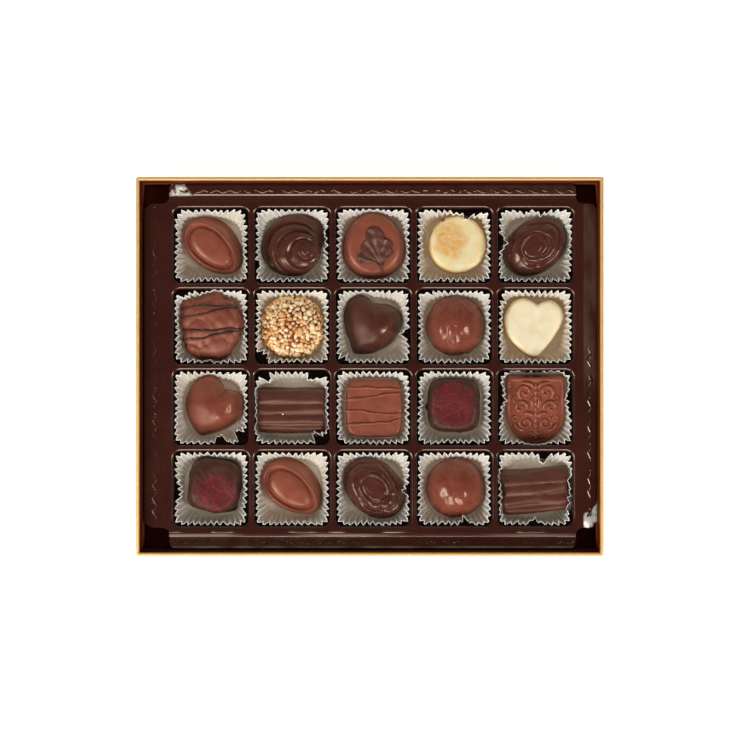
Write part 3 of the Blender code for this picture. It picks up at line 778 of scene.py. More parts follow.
def build_cup(key, centre, body, seed):
    """A pleated cup with a round floor and a square rim, pressed out where its praline needs the room."""
    per_flute = 4
    ease = 0.35  # how gradually the paper gives way to the praline
    count = FLUTES * per_flute
    pick = np.random.default_rng(seed)
    angle = even_angles(count, CUP_RIM, RIM_POWER)
    turn = np.arange(count) / per_flute

    def by_flute(spread):
        """A random value for every flute, blended between them."""
        values = pick.normal(0, spread, FLUTES)
        return np.interp(turn, np.arange(FLUTES + 1), np.append(values, values[0]))

    def slow_swing(spread, orders=(2, 3, 5)):
        return sum(pick.normal(0, spread) * np.sin(n * angle + pick.uniform(0, TURN)) for n in orders)

    zig = 2 * np.abs(2 * ((turn + by_flute(0.09)) % 1) - 1) - 1
    zig = np.sign(zig) * np.abs(zig) ** 0.85
    depth = PLEAT * (1 + by_flute(0.16))
    rim_z = CUP_RIM_Z - 0.35 + slow_swing(0.16) + by_flute(0.16)
    inward = 0.25 * np.clip(slow_swing(0.5, (2, 3, 4)), 0, 1.4)
    for direction, width, push, drop in DENTS.get(key, ()):
        dent = toward(angle, direction, width) ** DENT_FOCUS
        ragged = 1 + 0.25 * np.sin(turn * 3.1 + direction)
        inward = inward + push * dent * ragged
        rim_z = rim_z - drop * dent * ragged
    rim_z = np.minimum(rim_z, CUP_RIM_Z)
    floor_reach = reach_at(angle, 1, 1, FLOOR_POWER) * CUP_FLOOR
    outer = reach_at(angle, 1, 1, RIM_POWER) * CUP_RIM
    table = reach_of(body, centre)
    widest = np.maximum.accumulate(table, axis=0)
    bins = ((angle / TURN % 1) * table.shape[1]).astype(int) % table.shape[1]
    rows = []
    for t in CUP_LEVELS:
        z = CUP_FLOOR_Z + 0.1 + (rim_z - CUP_FLOOR_Z - 0.1) * t
        middle = floor_reach + (outer - depth / 2 - floor_reach) * t**0.9 - inward * smoothstep(0.15, 1, t)
        reach = middle + zig * depth / 2 * (0.10 + 0.90 * t**0.8) + 0.3 * smoothstep(0.93, 1.0, t)
        level = min(int(t * table.shape[0]), table.shape[0] - 1)
        # The paper stands clear of the praline's widest part, and hangs over it only where it is dented.
        clear = np.maximum(table[level, bins], widest[level, bins] - 0.9 * inward * smoothstep(0.4, 0.9, t))
        room = clear + 0.12 + (0.35 + 0.35 * zig) * t
        over = (reach - room) / ease
        reach = room + ease * np.where(over > 20, over, np.log1p(np.exp(np.minimum(over, 20))))
        wall = reach_at(angle, 1, 1, RIM_POWER) * (WELL_BOTTOM + (WELL_TOP - WELL_BOTTOM) * t - 0.12)
        rows.append(np.column_stack([circle(angle) * np.minimum(reach, wall)[:, None], z]))
    rows = np.array([*(rows[0] * (share, share, 1) for share in FLOOR_SHARES), *rows])
    creased = np.append(smoothstep(0.55, 1.0, FLOOR_SHARES), (1.0, 0.5))[:, None]
    rows[: len(creased), :, 2] += 0.07 * (1 + zig) * creased
    rows[..., :2] += centre
    cup = make_piece(
        f"cup_{key}_pleated", rows, [*grid_faces(len(rows), count), range(count)], "cup_paper", f"cup_{key}"
    )
    set_mask(cup, "depth", np.repeat(1 - np.append(np.zeros(len(FLOOR_SHARES)), CUP_LEVELS), count))
    cup.data.set_sharp_from_angle(angle=math.radians(65))
    thicken(cup, PAPER_THICK, 0)


# ---------------------------------------------------------------- pralines


def superellipse(half_x, half_y, power, count=144):
    a = angles(count)
    return circle(a) * reach_at(a, half_x, half_y, power)[:, None]


def egg(half_x, half_y, blunt):
    """An oval whose +X end is narrower, by the share blunt."""
    a = angles()
    return np.column_stack([half_x * np.cos(a), half_y * np.sin(a) * (1 - blunt * np.cos(a))])


def loft(outline, knots, taper=(0, 0), shift=(0, 0), rows=54):
    """Rows of points from the base to the middle of the top, one outline scaled along a smooth section."""
    size = np.hypot(*outline.T).mean()
    section = curve_through([(scale * size, height) for scale, height in knots], rows)
    scale = np.clip(section[:, 0] / size, 0, None)[:, None]
    height = np.maximum(section[:, 1], 0)[:, None]
    rise = height / height[-1]
    x, y = (outline[:, k] * scale * (1 - taper[k] * rise) + shift[k] * rise for k in range(2))
    return np.stack([x, y, np.broadcast_to(height, x.shape)], axis=2)


def normals(rows):
    along = np.roll(rows, -1, axis=1) - np.roll(rows, 1, axis=1)
    normal = np.cross(along, np.gradient(rows, axis=0))
    return normal / (np.linalg.norm(normal, axis=2, keepdims=True) + 1e-9)


def press_out(rows, amount):
    """Moves every point out along the surface's normal, but not the base or the very middle."""
    level = np.linspace(0, 1, len(rows))[:, None]
    fade = smoothstep(0, 0.06, level) * (1 - smoothstep(0.97, 1.0, level))
    return rows + normals(rows) * (amount * fade)[..., None]


def share_out(rows):
    """How far out each row lies, from 1 at the widest row to 0 in the middle, and each point's direction."""
    flat = rows[..., :2] - rows[-1, 0, :2]
    reach = np.hypot(flat[..., 0], flat[..., 1])
    return reach / reach.max(axis=0), np.arctan2(flat[..., 1], flat[..., 0])


def close_body(rows):
    """Faces for rows of points, closed with one face at the base and a fan in the middle of the top."""
    count = rows.shape[1]
    faces = grid_faces(len(rows) - 1, count).tolist()
    points = np.vstack([rows[:-1].reshape(-1, 3), rows[-1].mean(axis=0)])
    last = (len(rows) - 2) * count
    faces += [[last + i, last + (i + 1) % count, len(points) - 1] for i in range(count)]
    faces.append(list(reversed(range(count))))
    return points, faces


class Place:
    """Where a praline lies: its well, its turn and its lean."""

    def __init__(self, key, centre, turn, offset, lean=0.0):
        self.key = key
        self.centre = centre
        self.middle = centre + np.array(offset)
        c, s = math.cos(math.radians(lean)), math.sin(math.radians(lean))
        level = np.array(((1, 0, 0), (0, c, -s), (0, s, c)))
        c, s = math.cos(math.radians(turn)), math.sin(math.radians(turn))
        self.turned = np.array(((c, -s, 0), (s, c, 0), (0, 0, 1))) @ level

    def settle(self, node):
        """Sets the height at which the CAD node's lowest point lies."""
        self.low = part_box(node)[0].z / MM

    def put(self, points, lowest=None):
        moved = points @ self.turned.T
        self.lowest = moved[..., 2].min() if lowest is None else lowest
        return moved + (*self.middle, self.low - self.lowest)


def praline(kind, rows, where, look, **masks):
    """The body of a praline, in place of its CAD node."""
    node = f"{kind}_{where.key}"
    where.settle(node)
    points, faces = close_body(rows)
    body = make_piece(f"{node}_body", where.put(points), faces, look, node)
    for name, values in masks.items():
        set_mask(body, name, np.append(values[:-1].ravel(), values[-1].mean()))
    return body


def ridge(phase):
    """A row of round ridges with sharp creases between them, one for every whole number."""
    return np.sqrt(1 - (2 * (phase % 1) - 1) ** 2 * 0.98) - 0.62


def terrace(phase):
    """Steps that rise out of a crease, run on evenly and drop into the next one, one per whole number."""
    p = phase % 1
    return smoothstep(0, 0.34, p) * (1 - smoothstep(0.78, 1.0, p)) - 0.55


def oval(where):
    knots = (
        (0.95, 0), (1, 1.5), (1.005, 6), (0.998, 9.4), (0.985, 10.7), (0.945, 11.45), (0.89, 11.55),
        (0.83, 11.0), (0.785, 10.25), (0.75, 10.5), (0.69, 11.45), (0.60, 12.1), (0.43, 12.6), (0.22, 12.75),
        (0, 12.8),
    )
    rows = loft(egg(15.4, 11.5, 0.11), knots, (0.01, 0.28), (-0.3, -2.0), rows=70)
    return praline("oval", press_out(rows, 0.05 * waves(rows, 9, 11)), where, "milk_chocolate")


# The snail's outline (direction in degrees, reach), its section (radius, height), the middles of its nested
# turns (radius, x, y) and the turns themselves (radius, number of creases passed)
SNAIL_REACH = (
    (-90, 14.0), (-72, 13.5), (-48, 13.0), (-30, 12.2), (-8, 12.9), (8, 14.4), (20, 15.3), (35, 16.0),
    (48, 15.8), (62, 15.2), (80, 14.2), (109, 13.8), (150, 13.9), (192, 15.0), (220, 15.2), (242, 14.9),
)
SNAIL_SECTION = (
    (12.8, 0), (13.6, 2.5), (13.5, 5.4), (12.8, 8.0), (11.4, 10.6), (9.4, 12.9), (7.2, 14.6), (5.0, 15.7),
    (3.5, 16.2), (2.9, 16.7), (2.5, 17.6), (1.6, 18.3), (0, 18.6),
)
SNAIL_TURNS = (
    (0, 5.6, -2.8), (2.8, 5.6, -2.8), (6.4, 5.1, -3.2), (9.6, 2.3, -3.0), (12, 0.6, -1.8), (13.6, 0, -0.4),
    (15, 0, 0),
)
SNAIL_FOLDS = ((1.0, 0.1), (2.7, 0.555), (6.4, 1.555), (9.7, 2.555), (12.1, 3.555), (14.6, 4.6))


def snail(where):
    """A piped swirl: turns that nest on one side, open towards its tip, round a small peak."""
    a = angles(176)
    unit = circle(a)
    base_reach = np.interp(np.degrees(a), *np.array(SNAIL_REACH).T, period=360)
    base_reach = sum(np.roll(base_reach, k) for k in range(-4, 5)) / 9
    section = curve_through(SNAIL_SECTION, 96)
    radius, height = np.clip(section[:, 0], 0, None), np.maximum(section[:, 1], 0)
    turn_radius, *turn_middle = np.array(SNAIL_TURNS).T
    middle = np.stack([np.interp(radius, turn_radius, axis) for axis in turn_middle], axis=1)
    blend = smoothstep(4.5, 9.5, height)[:, None, None]
    low = unit[None] * (base_reach[None, :, None] * radius[:, None, None] / 13.6)
    high = middle[:, None] + unit[None] * radius[:, None, None]
    flat = low * (1 - blend) + high * blend
    rows = np.dstack([flat, np.broadcast_to(height[:, None], flat.shape[:2])])
    turned = (a + math.radians(20)) % TURN / TURN
    phase = np.interp(radius, *np.array(SNAIL_FOLDS).T)[:, None] - turned
    open_side = 0.12 + 0.88 * smoothstep(0.35, 1.25, np.hypot(unit[:, 0] - 1, unit[:, 1] + 0.1))
    strength = smoothstep(2.3, 3.6, radius) * (1 - smoothstep(12.9, 13.6, radius))
    strength = strength * (0.5 + 0.5 * smoothstep(3, 8, radius)) * smoothstep(3.5, 7.5, height)
    steps = 1.35 * terrace(phase) * strength[:, None] * open_side[None]
    return praline("snail", press_out(rows, steps + 0.08 * waves(rows, 6, 8)), where, "glossy_dark_chocolate")


def leaf_egg(where):
    knots = (
        (0.93, 0), (1, 2.5), (0.995, 7), (0.95, 10.6), (0.87, 13.0), (0.76, 14.2), (0.6, 14.5), (0.3, 14.55),
        (0, 14.6),
    )
    rows = loft(egg(15.3, 14.4, 0.09), knots)
    leaf_inlay(where.centre)
    return praline("leaf_egg", press_out(rows, 0.05 * waves(rows, 10, 12)), where, "milk_chocolate")


# The leaf's middle from its well's, and its outline, section and stem from its own middle
LEAF_MIDDLE = (0.9, 0.05)
LEAF_FOOT = (2.4, -9.0)
LEAF_HUB = np.array((0.2, -2.0))
LEAF_OUTLINE = (
    (-3.7, 7.4), (-2.0, 8.6), (0.5, 8.7), (3.0, 6.9), (4.2, 4.7), (4.2, 3.3), (5.7, 3.3), (7.3, 2.6),
    (8.3, 0.8), (7.7, -1.3), (8.2, -2.9), (7.1, -4.9), (5.0, -6.1), (4.0, -7.7), (3.5, -9.5), (2.7, -10.4),
    (1.7, -9.7), (0.2, -8.4), (-2.8, -8.0), (-6.2, -8.5), (-8.0, -7.2), (-8.1, -5.1), (-6.6, -2.9),
    (-6.8, -0.4), (-5.5, 1.8), (-4.1, 2.8), (-4.3, 4.5), (-4.3, 6.1),
)
LEAF_SECTION = ((1.0, -0.6), (0.99, 0.0), (0.955, 0.40), (0.90, 0.62), (0.7, 0.66), (0.4, 0.55), (0, 0.45))
LEAF_STEM = ((2.5, -9.4), (2.9, -10.8), (3.1, -12.2), (3.3, -14.0))


def leaf_inlay(centre):
    """A dark leaf with raised lobes, veins that fan out from its foot, and a thin stem."""
    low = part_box("leaf")[0].z / MM
    middle = centre + LEAF_MIDDLE
    outline = curve_through(LEAF_OUTLINE[::-1], 168, closed=True)
    size = 8  # makes the section's points lie evenly
    section = curve_through([(share * size, z) for share, z in LEAF_SECTION], 40)
    rows = np.array([
        np.column_stack([LEAF_HUB + (outline - LEAF_HUB) * max(x / size, 0), np.full(len(outline), z)])
        for x, z in section
    ])
    off = rows[..., :2] - LEAF_FOOT
    fan = np.arctan2(off[..., 0], off[..., 1])
    far = np.hypot(off[..., 0], off[..., 1])
    bend = 0.105 * (far / 12) ** 2 * np.sign(fan)
    veins = np.cos((fan - bend) * 17 + 0.5 * waves(rows[..., :2], 6, 6))
    lobes = np.cos(fan * 5.4 + 0.3)
    relief = 0.17 * veins * smoothstep(1.0, 5.0, far) + 0.22 * lobes + 0.12 * waves(rows[..., :2], 4.5, 9)
    rows[..., 2] += smoothstep(0.0, 0.5, rows[..., 2]) * relief
    points, faces = close_body(rows)
    stem = curve_through(LEAF_STEM, 26)
    drop = 1.5 * smoothstep(10.5, 14.0, -stem[:, 1]) ** 1.5
    stem_path = np.column_stack([stem + middle, low - 0.05 - drop])
    stem_tube = tubes([(stem_path, np.linspace(0.5, 0.3, 26), 0.7)], circle(angles(6)))
    points, faces = joined([(points + (*middle, low - 0.15), faces), stem_tube])
    make_piece("leaf_inlay", points, faces, "leaf_chocolate", "leaf")


def scatter_bits(name, spots, sizes, look, seed, rounds=1, long=(0.7, 1.25), chopped=False):
    """Small uneven lumps as one mesh, each lump with its own shade. Chopped ones have flat cuts."""
    bm = bmesh.new()
    bmesh.ops.create_icosphere(bm, subdivisions=rounds, radius=1)
    unit = np.array([v.co for v in bm.verts])
    shape = np.array([[v.index for v in f.verts] for f in bm.faces])
    bm.free()
    pick = np.random.default_rng(seed)
    lumps = []
    for n, (spot, size) in enumerate(zip(spots, sizes)):
        stretch = pick.uniform(*long, 3)
        spin = np.linalg.qr(pick.normal(size=(3, 3)))[0]
        if np.linalg.det(spin) < 0:
            spin[:, 0] *= -1
        if chopped:
            cuts = pick.normal(size=(10, 3))
            cuts /= np.linalg.norm(cuts, axis=1, keepdims=True)
            facing = np.maximum(unit @ cuts.T, 0.05)
            uneven = np.minimum((pick.uniform(0.62, 0.95, 10) / facing).min(axis=1), 1.12)
        else:
            uneven = 1 + 0.13 * waves(unit + pick.uniform(-9, 9, 3), 1.8, n)
        lumps.append((unit * uneven[:, None] * stretch @ spin * size + spot, shape))
    piece = make_piece(name, *joined(lumps), look, smooth=not chopped)
    set_mask(piece, "shade", np.repeat(pick.uniform(0, 1, len(spots)), len(unit)))


def drape(piece, flat, lift=0.0):
    """Drops points onto a piece from above; those that miss it are left out."""
    vertices = [v.co / MM for v in piece.data.vertices]
    tree = BVHTree.FromPolygons(vertices, [list(p.vertices) for p in piece.data.polygons])
    hits = (tree.ray_cast(Vector((x, y, 60)), Vector((0, 0, -1))) for x, y in flat)
    found = [np.array(spot) + np.array(normal) * lift for spot, normal, _, _ in hits if spot is not None]
    return np.array(found)


def grains_on(name, piece, centre, reach, count, size, look, seed):
    """Fine grains strewn over an oval patch of a praline's top, thinner towards the patch's edge."""
    pick = np.random.default_rng(seed)
    angle, far = pick.uniform(0, TURN, count), pick.uniform(0, 1, count) ** 0.55
    patch = circle(angle) * far[:, None] * np.array(reach)
    patch += 0.3 * np.column_stack([waves(patch, 9, seed), waves(patch, 9, seed + 1)])
    spots = drape(piece, centre + patch, 0.3 * size)
    scatter_bits(name, spots, size * pick.uniform(0.55, 1.35, len(spots)), look, seed)


def shaded_sides(rows, top):
    """1 on a white praline's sides, which get painted shade, and 0 on its top, which stays paler."""
    return 1 - smoothstep(top - 2.6, top - 0.35, rows[..., 2])


def button(where):
    top = 14.2
    knots = (
        (0.95, 0), (1, 1.5), (1.002, 5), (1, 9.4), (0.985, 11.6), (0.945, 13.0), (0.86, 13.8), (0.6, 14.15),
        (0, top),
    )
    rows = loft(superellipse(13.2, 13.2, 2), knots)
    rows = press_out(rows, 0.07 * waves(rows, 8, 13))
    spot = np.array((-3.2, 1.4))
    off = rows[..., :2] - spot
    far = np.hypot(off[..., 0], off[..., 1] * 0.94) + 0.9 * waves(rows, 7, 31)
    masks = {"dusted": 1 - smoothstep(4.8, 10.0, far), "edge": shaded_sides(rows, top)}
    body = praline("button", rows, where, "toasted_white_chocolate", **masks)
    grains_on("toasted_grains", body, where.middle + spot, (8.2, 8.6), 200, 0.13, "toasted_crumb", 17)
    scatter_bits("toasted_blot", drape(body, [where.middle + (-6.6, 10.9)]), [0.95], "toasted_blot", 5, 3)
    return body


def whorl(where):
    """An oval wrapped in uneven turns round a flat middle."""
    seed = 40 + int(where.key[1]) * 7
    knots = (
        (0.92, 0), (1, 3), (0.985, 6.5), (0.93, 9.4), (0.82, 11.8), (0.68, 13.3), (0.54, 14.4), (0.44, 14.9),
        (0.3, 15.1), (0, 15.2),
    )
    rows = loft(superellipse(15.8, 12.0, 2.1), knots, rows=100)
    out, direction = share_out(rows)
    warp = 0.20 * waves(rows, 15, seed) + 0.06 * waves(rows, 6, seed + 1)
    turns = ridge((1 - out) * 3.6 + direction / TURN + warp)
    strength = smoothstep(0.37, 0.47, out) * (1 - smoothstep(0.90, 0.99, out))
    inner = peak(out - 0.235, 0.03 * np.sin(direction * 2), 0.022)
    inner = inner * smoothstep(-0.2, 0.6, np.sin(direction * 1.5 + seed))
    amount = 1.35 * turns * strength - 0.35 * peak(out, 0.385, 0.03) - 0.16 * inner
    amount = amount + 0.05 * waves(rows, 4, seed + 2)
    if where.key == "r4c3":  # a drop that ran down at the near end
        gap = np.hypot(rows[..., 0] - 10.2, rows[..., 1] + 0.6)
        amount = amount + 1.3 * np.sqrt(np.clip(1 - (gap / 4.2) ** 2, 0, None)) - 0.3 * peak(gap, 4.6, 0.5)
    return praline("whorl", press_out(rows, amount), where, "glossy_dark_chocolate")


def bumps(rows, spots, radius, height):
    """The height of rounded lumps at the spots, where they stick out."""
    off = np.linalg.norm(rows[:, :, None, :] - spots[None, None], axis=3) / radius
    return (height * np.sqrt(np.clip(1 - off**2, 0, None))).max(axis=2)


def cluster(where):
    """A heap of nuts and crisps under chocolate, with a dark drizzle."""
    a = angles()
    reach = 1 + 0.022 * np.sin(5 * a + 1) + 0.020 * np.sin(9 * a) + 0.014 * np.sin(14 * a + 2)
    swells = ((140, 9, 0.09), (-86, 12, 0.05), (6, 10, 0.04), (62, 12, -0.05), (-140, 14, -0.04))
    for way, width, out in swells:
        reach = reach + out * toward(a, way, width)
    knots = ((0.9, 0), (0.98, 4), (0.985, 9), (0.91, 12.4), (0.74, 14.4), (0.40, 15.4), (0, 15.7))
    rows = loft(superellipse(14.2, 15.0, 2.5) * reach[:, None], knots, rows=66)
    pick = np.random.default_rng(77)
    count = 46
    chosen = rows[pick.integers(8, 64, count), pick.integers(0, rows.shape[1], count)]
    lumps = bumps(rows, chosen, pick.uniform(2.8, 5.6, count), pick.uniform(0.5, 1.5, count))
    rows = press_out(rows, lumps - 0.7 + 0.08 * waves(rows, 4.5, 21))
    body = praline("cluster", rows, where, "cluster_chocolate")
    lines = (
        ((-14.5, 7.6), (-4, 8.7), (6, 8.9), (14.5, 10.2)),
        ((-13.5, 3.4), (-4, 5.2), (4, 7.2), (14.5, 9.4)),
        ((-14.5, -1.6), (-3, -2.3), (5, -1.9), (14.5, -1.6)),
        ((-13, -6.4), (-3, -5.4), (5, -3.6), (14, -2.0)),
    )
    drizzle("cluster_drizzle", body, where, lines, 0.66, "drizzle_chocolate", 71)
    return body


def drizzle(name, body, where, lines, radius, look, seed):
    """Thin strands of chocolate that lie over a praline and run down its sides."""
    pick = np.random.default_rng(seed)
    paths = []
    for line in lines:
        flat = curve_through(line, 64)
        flat = flat + 0.16 * waves(flat, 9, int(pick.integers(1000)))[:, None] * (0, 1)
        spots = drape(body, flat + where.middle, radius * 0.35)
        spots[:, 2] = np.convolve(np.pad(spots[:, 2], 2, "edge"), np.ones(5) / 5, "valid")
        paths.append((spots, radius * (1 + 0.18 * waves(spots, 6, int(pick.integers(1000)))), 0.85))
    make_piece(name, *tubes(paths, circle(angles(8))), look)


def nut_dome(where):
    """A ball of praline rolled in chopped nuts."""
    knots = ((0.76, 0), (0.90, 2.5), (0.93, 7.2), (0.875, 12.0), (0.70, 15.2), (0.40, 17.2), (0, 17.7))
    rows = loft(superellipse(14.7, 14.6, 2), knots)
    body = praline("nut_dome", press_out(rows, 0.18 * waves(rows, 3, 14) - 0.1), where, "nut_core")
    pick = np.random.default_rng(8)
    around = 240
    smooth = loft(superellipse(14.7, 14.6, 2, around), knots, rows=90)
    # A row is picked as often as it is long, so the nuts lie equally dense all over.
    weight = np.repeat(np.hypot(*(smooth[:-2, 0, :2] - smooth[-1, 0, :2]).T), around)
    candidates = pick.choice(len(weight), 7000, p=weight / weight.sum())
    kept = np.empty((0, 6))
    for spot in np.dstack([smooth, normals(smooth)])[:-2].reshape(-1, 6)[candidates]:
        if spot[2] > 0.9 and (not len(kept) or np.linalg.norm(kept[:, :3] - spot[:3], axis=1).min() > 1.5):
            kept = np.vstack([kept, spot])
    spots = where.put(kept[:, :3] + kept[:, 3:] * 0.35, where.lowest)
    sizes = pick.uniform(0.88, 1.48, len(kept))
    scatter_bits("nut_pieces", spots, sizes, "chopped_nut", 9, 2, (0.62, 1.32), chopped=True)
    return body


PUFFY = (
    (0.92, 0), (0.99, 1.5), (1.0, 3.4), (0.96, 6.2), (0.87, 8.9), (0.71, 11.2), (0.52, 12.7), (0.34, 13.55),
    (0.17, 14.05), (0, 14.2),
)
FLAT_TOP = (
    (0.95, 0), (1.0, 1.4), (1.0, 6.4), (0.995, 10.2), (0.97, 12.3), (0.91, 13.5), (0.80, 13.95), (0.4, 14.15),
    (0, 14.2),
)
# The hearts' outlines from the notch round the left lobe to the tip and back, and the folds in their tops
DARK_HEART = (
    (0.2, 11.0), (-2.6, 14.0), (-6.2, 14.7), (-9.8, 13.4), (-12.4, 10.2), (-13.5, 4.8), (-12.7, -1.0),
    (-10.8, -6.2), (-9.3, -10.8), (-7.8, -12.1), (-4.0, -12.3), (1.6, -11.3), (6.6, -8.8), (10.6, -4.8),
    (13.0, 0.0), (13.5, 3.8), (12.2, 7.3), (9.4, 9.5), (5.6, 10.7), (2.4, 10.7),
)
MILK_HEART = (
    (5.9, 8.0), (4.2, 11.6), (1.2, 14.2), (-2.8, 14.8), (-7.2, 12.6), (-10.6, 8.2), (-12.4, 2.8),
    (-11.9, -2.4), (-9.8, -7.6), (-7.0, -11.6), (-4.9, -12.8), (-1.2, -12.3), (3.8, -10.8), (9.0, -8.3),
    (12.9, -5.0), (14.5, -0.1), (14.4, 3.7), (12.8, 6.6), (10.0, 8.1), (7.8, 8.1),
)
IVORY_HEART = (
    (1.5, 10.3), (-2.2, 12.4), (-6.1, 13.1), (-11.0, 10.6), (-13.6, 6.2), (-14.0, 1.4), (-12.7, -3.4),
    (-10.1, -7.2), (-5.1, -11.8), (-1.2, -14.1), (0.3, -14.5), (2.0, -13.4), (5.6, -9.2), (9.1, -4.7),
    (11.6, -0.2), (13.3, 4.4), (12.3, 8.7), (9.1, 11.7), (6.1, 12.2), (3.4, 11.3),
)
DARK_FOLD = ((0.8, 10.6), (2.2, 8.4), (4.4, 6.2), (6.0, 3.0), (6.6, -0.6))
MILK_FOLD = ((6.3, 8.0), (7.2, 4.6), (8.1, 0.8), (8.0, -1.8), (6.9, -3.8), (5.2, -5.4))


def heart_rows(outline, section, rows):
    return loft(curve_through(outline[::-1], 144, closed=True), section, rows=rows)


def puffy_heart(kind, where, outline, fold_line, look, seed, fold):
    """A domed heart whose one side folds a little over the other."""
    rows = heart_rows(outline, PUFFY, 70)
    steps = 60
    gap = rows[:, :, None, :2] - curve_through(fold_line, steps)
    near = np.hypot(gap[..., 0], gap[..., 1])
    closest = near.argmin(axis=2)
    side = np.take_along_axis(gap[..., 0], closest[..., None], 2)[..., 0]
    distance = near.min(axis=2) * np.sign(side)
    along = closest / (steps - 1)
    valley = -peak(along, 0, 0.45) * peak(distance, 0, 2.6)
    step = -0.5 * smoothstep(-0.6, 0.6, distance) * (1 - smoothstep(2.5, 7, distance))
    step = (step - 0.35 * peak(distance, 0, 0.6)) * np.sin(np.clip(0.4 + along * 2.7, 0, math.pi))
    amount = (fold * step + valley) * smoothstep(2, 8, rows[..., 2]) + 0.07 * waves(rows, 8, seed)
    rows = press_out(rows, amount)
    dull = smoothstep(4.5, -3.5, rows[..., 0] + 0.8 * waves(rows, 7, seed + 5))
    return praline(kind, rows, where, look, dull=dull)


def heart_dark(where):
    return puffy_heart("heart_dark", where, DARK_HEART, DARK_FOLD, "glossy_dark_chocolate", 51, 0.12)


def heart_milk(where):
    return puffy_heart("heart_milk", where, MILK_HEART, MILK_FOLD, "shiny_milk_chocolate", 52, 0.25)


def heart_ivory(where):
    rows = heart_rows(IVORY_HEART, FLAT_TOP, 60)
    valley = peak(rows[..., 0], 2.4, 1.8) * peak(rows[..., 1], 8.0, 3.4) * smoothstep(9, 13, rows[..., 2])
    rows = press_out(rows, 0.05 * waves(rows, 8, 53) - 0.5 * valley)
    return praline("heart_ivory", rows, where, "white_chocolate", edge=shaded_sides(rows, 14.2))


def dome(where):
    """A round dome with the soft ribs and creases that setting chocolate leaves."""
    seed = 60 + int(where.key[1]) * 9
    knots = (
        (0.92, 0), (0.99, 2.0), (1.0, 4.4), (0.98, 7.6), (0.91, 11.0), (0.77, 13.9), (0.60, 15.7),
        (0.40, 17.0), (0.2, 17.8), (0, 18),
    )
    rows = loft(superellipse(13.6, 13.8, 2.08), knots, rows=80)
    out, _ = share_out(rows)
    crease = np.clip(np.abs(waves(rows * (1.0, 0.42, 0.8), 9, seed, 12)), 0, 0.9) ** 0.8
    ribs = waves(rows * (1.0, 0.35, 0.6), 8, seed + 1, 12)
    streaks = waves(rows * (1.0, 0.3, 0.6), 2.6, seed + 3, 12)
    strength = smoothstep(0.08, 0.35, out) * smoothstep(3, 8, rows[..., 2])
    relief = 0.36 * crease - 0.3 + (0.10 * ribs + 0.035 * streaks) * strength
    rows = press_out(rows, relief + 0.03 * waves(rows, 4, seed + 2))
    return praline("dome", rows, where, "shiny_milk_chocolate")


def log(where):
    """A bar with lengthwise ribs, rounded at its ends; the one at r4c5 is more ragged."""
    seed = 80 + int(where.key[1]) * 5
    ragged, length = (1.0, 30.4) if where.key == "r4c5" else (0.55, 30.8)
    width, height, rib_pitch = 21.0, 14.4, 5.2
    ends = np.array((0.98, 0.993, 0.999, 1))
    a = angles(132)
    y, z = circle(a).T * reach_at(a, 1, 1, 5)
    up = (z + 1) / 2
    top = smoothstep(0.3, 0.95, z)
    rows = []
    for s in (*-ends[::-1], *np.linspace(-0.96, 0.96, 70), *ends):
        end = (1 - abs(s) ** 13) ** (1 / 3)
        phase = (y * width / 2 + 1.5 + 0.25 * ragged * math.sin(2.2 * s + seed)) / rib_pitch
        ribs = (0.85 * np.sqrt(np.abs(np.sin(math.pi * phase))) - 0.6) * top
        ribs = ribs * (1 - smoothstep(0.82, 0.96, np.abs(y))) * smoothstep(1.0, 0.95, abs(s))
        row_y = y * (1 - 0.09 * up) * (0.90 + 0.10 * end) * width / 2 - 0.8 * up
        row_z = up * height * (0.94 + 0.06 * end) * (1 - 0.06 * y * y) + ribs
        rows.append(np.column_stack([np.full(len(a), s * length / 2), row_y, row_z]))
    rows = np.array(rows)
    outer = np.sign(rows[..., 0]) * smoothstep(9, 15, np.abs(rows[..., 0]))
    rows[..., 0] += (0.12 + 0.26 * ragged) * waves(rows[..., 1:], 8, seed) * outer - 0.2 * outer
    wrinkle = (0.02 + 0.26 * ragged) * waves(rows * (0.2, 1, 1), 5, seed + 1)
    wrinkle = wrinkle + 0.05 * waves(rows, 6, seed + 2)
    rows = rows - normals(rows) * (wrinkle * smoothstep(0.5, 4, rows[..., 2]))[..., None]
    node = f"log_{where.key}"
    where.settle(node)
    count = rows[..., 0].size
    faces = [*grid_faces(*rows.shape[:2])[:, ::-1], range(len(a))[::-1], range(count - len(a), count)]
    body = make_piece(f"{node}_body", where.put(rows.reshape(-1, 3)), faces, "dark_chocolate", node)
    face_outwards(body)
    body.data.set_sharp_from_angle(angle=math.radians(70))
    if where.key == "r3c2":
        scatter_bits("log_speck", drape(body, [where.centre + (-4.3, -2.8)]), [0.5], "chopped_nut", 6, 2)
    return body


def drizzle_square(where):
    knots = (
        (0.97, 0), (1, 1), (1.0, 6), (1.0, 10.6), (0.99, 12.3), (0.955, 13.5), (0.88, 14.0), (0.6, 14.2),
        (0, 14.3),
    )
    rows = loft(superellipse(12.9, 13.1, 5), knots, rows=64)
    hollow = peak(np.hypot(rows[..., 0] - 1.5, rows[..., 1] + 3.0), 4.6, math.sqrt(2.2))
    relief = 0.09 * waves(rows, 7, 15) + 0.02 * waves(rows, 3, 16)
    rows = press_out(rows, relief - 0.22 * hollow * smoothstep(13, 14, rows[..., 2]))
    body = praline("drizzle_square", rows, where, "milk_chocolate")
    lines = (
        ((-14, 9.0), (-5, 9.3), (5, 9.1), (14, 8.7)),
        ((-14, 3.7), (-5, 4.6), (5, 6.2), (14, 7.5)),
        ((-14, -1.0), (-5, -1.7), (5, -2.6), (14, -2.9)),
        ((-14, -7.8), (-5, -6.9), (5, -6.4), (14, -4.6)),
    )
    drizzle("square_drizzle", body, where, lines, 0.56, "milk_chocolate", 72)
    return body


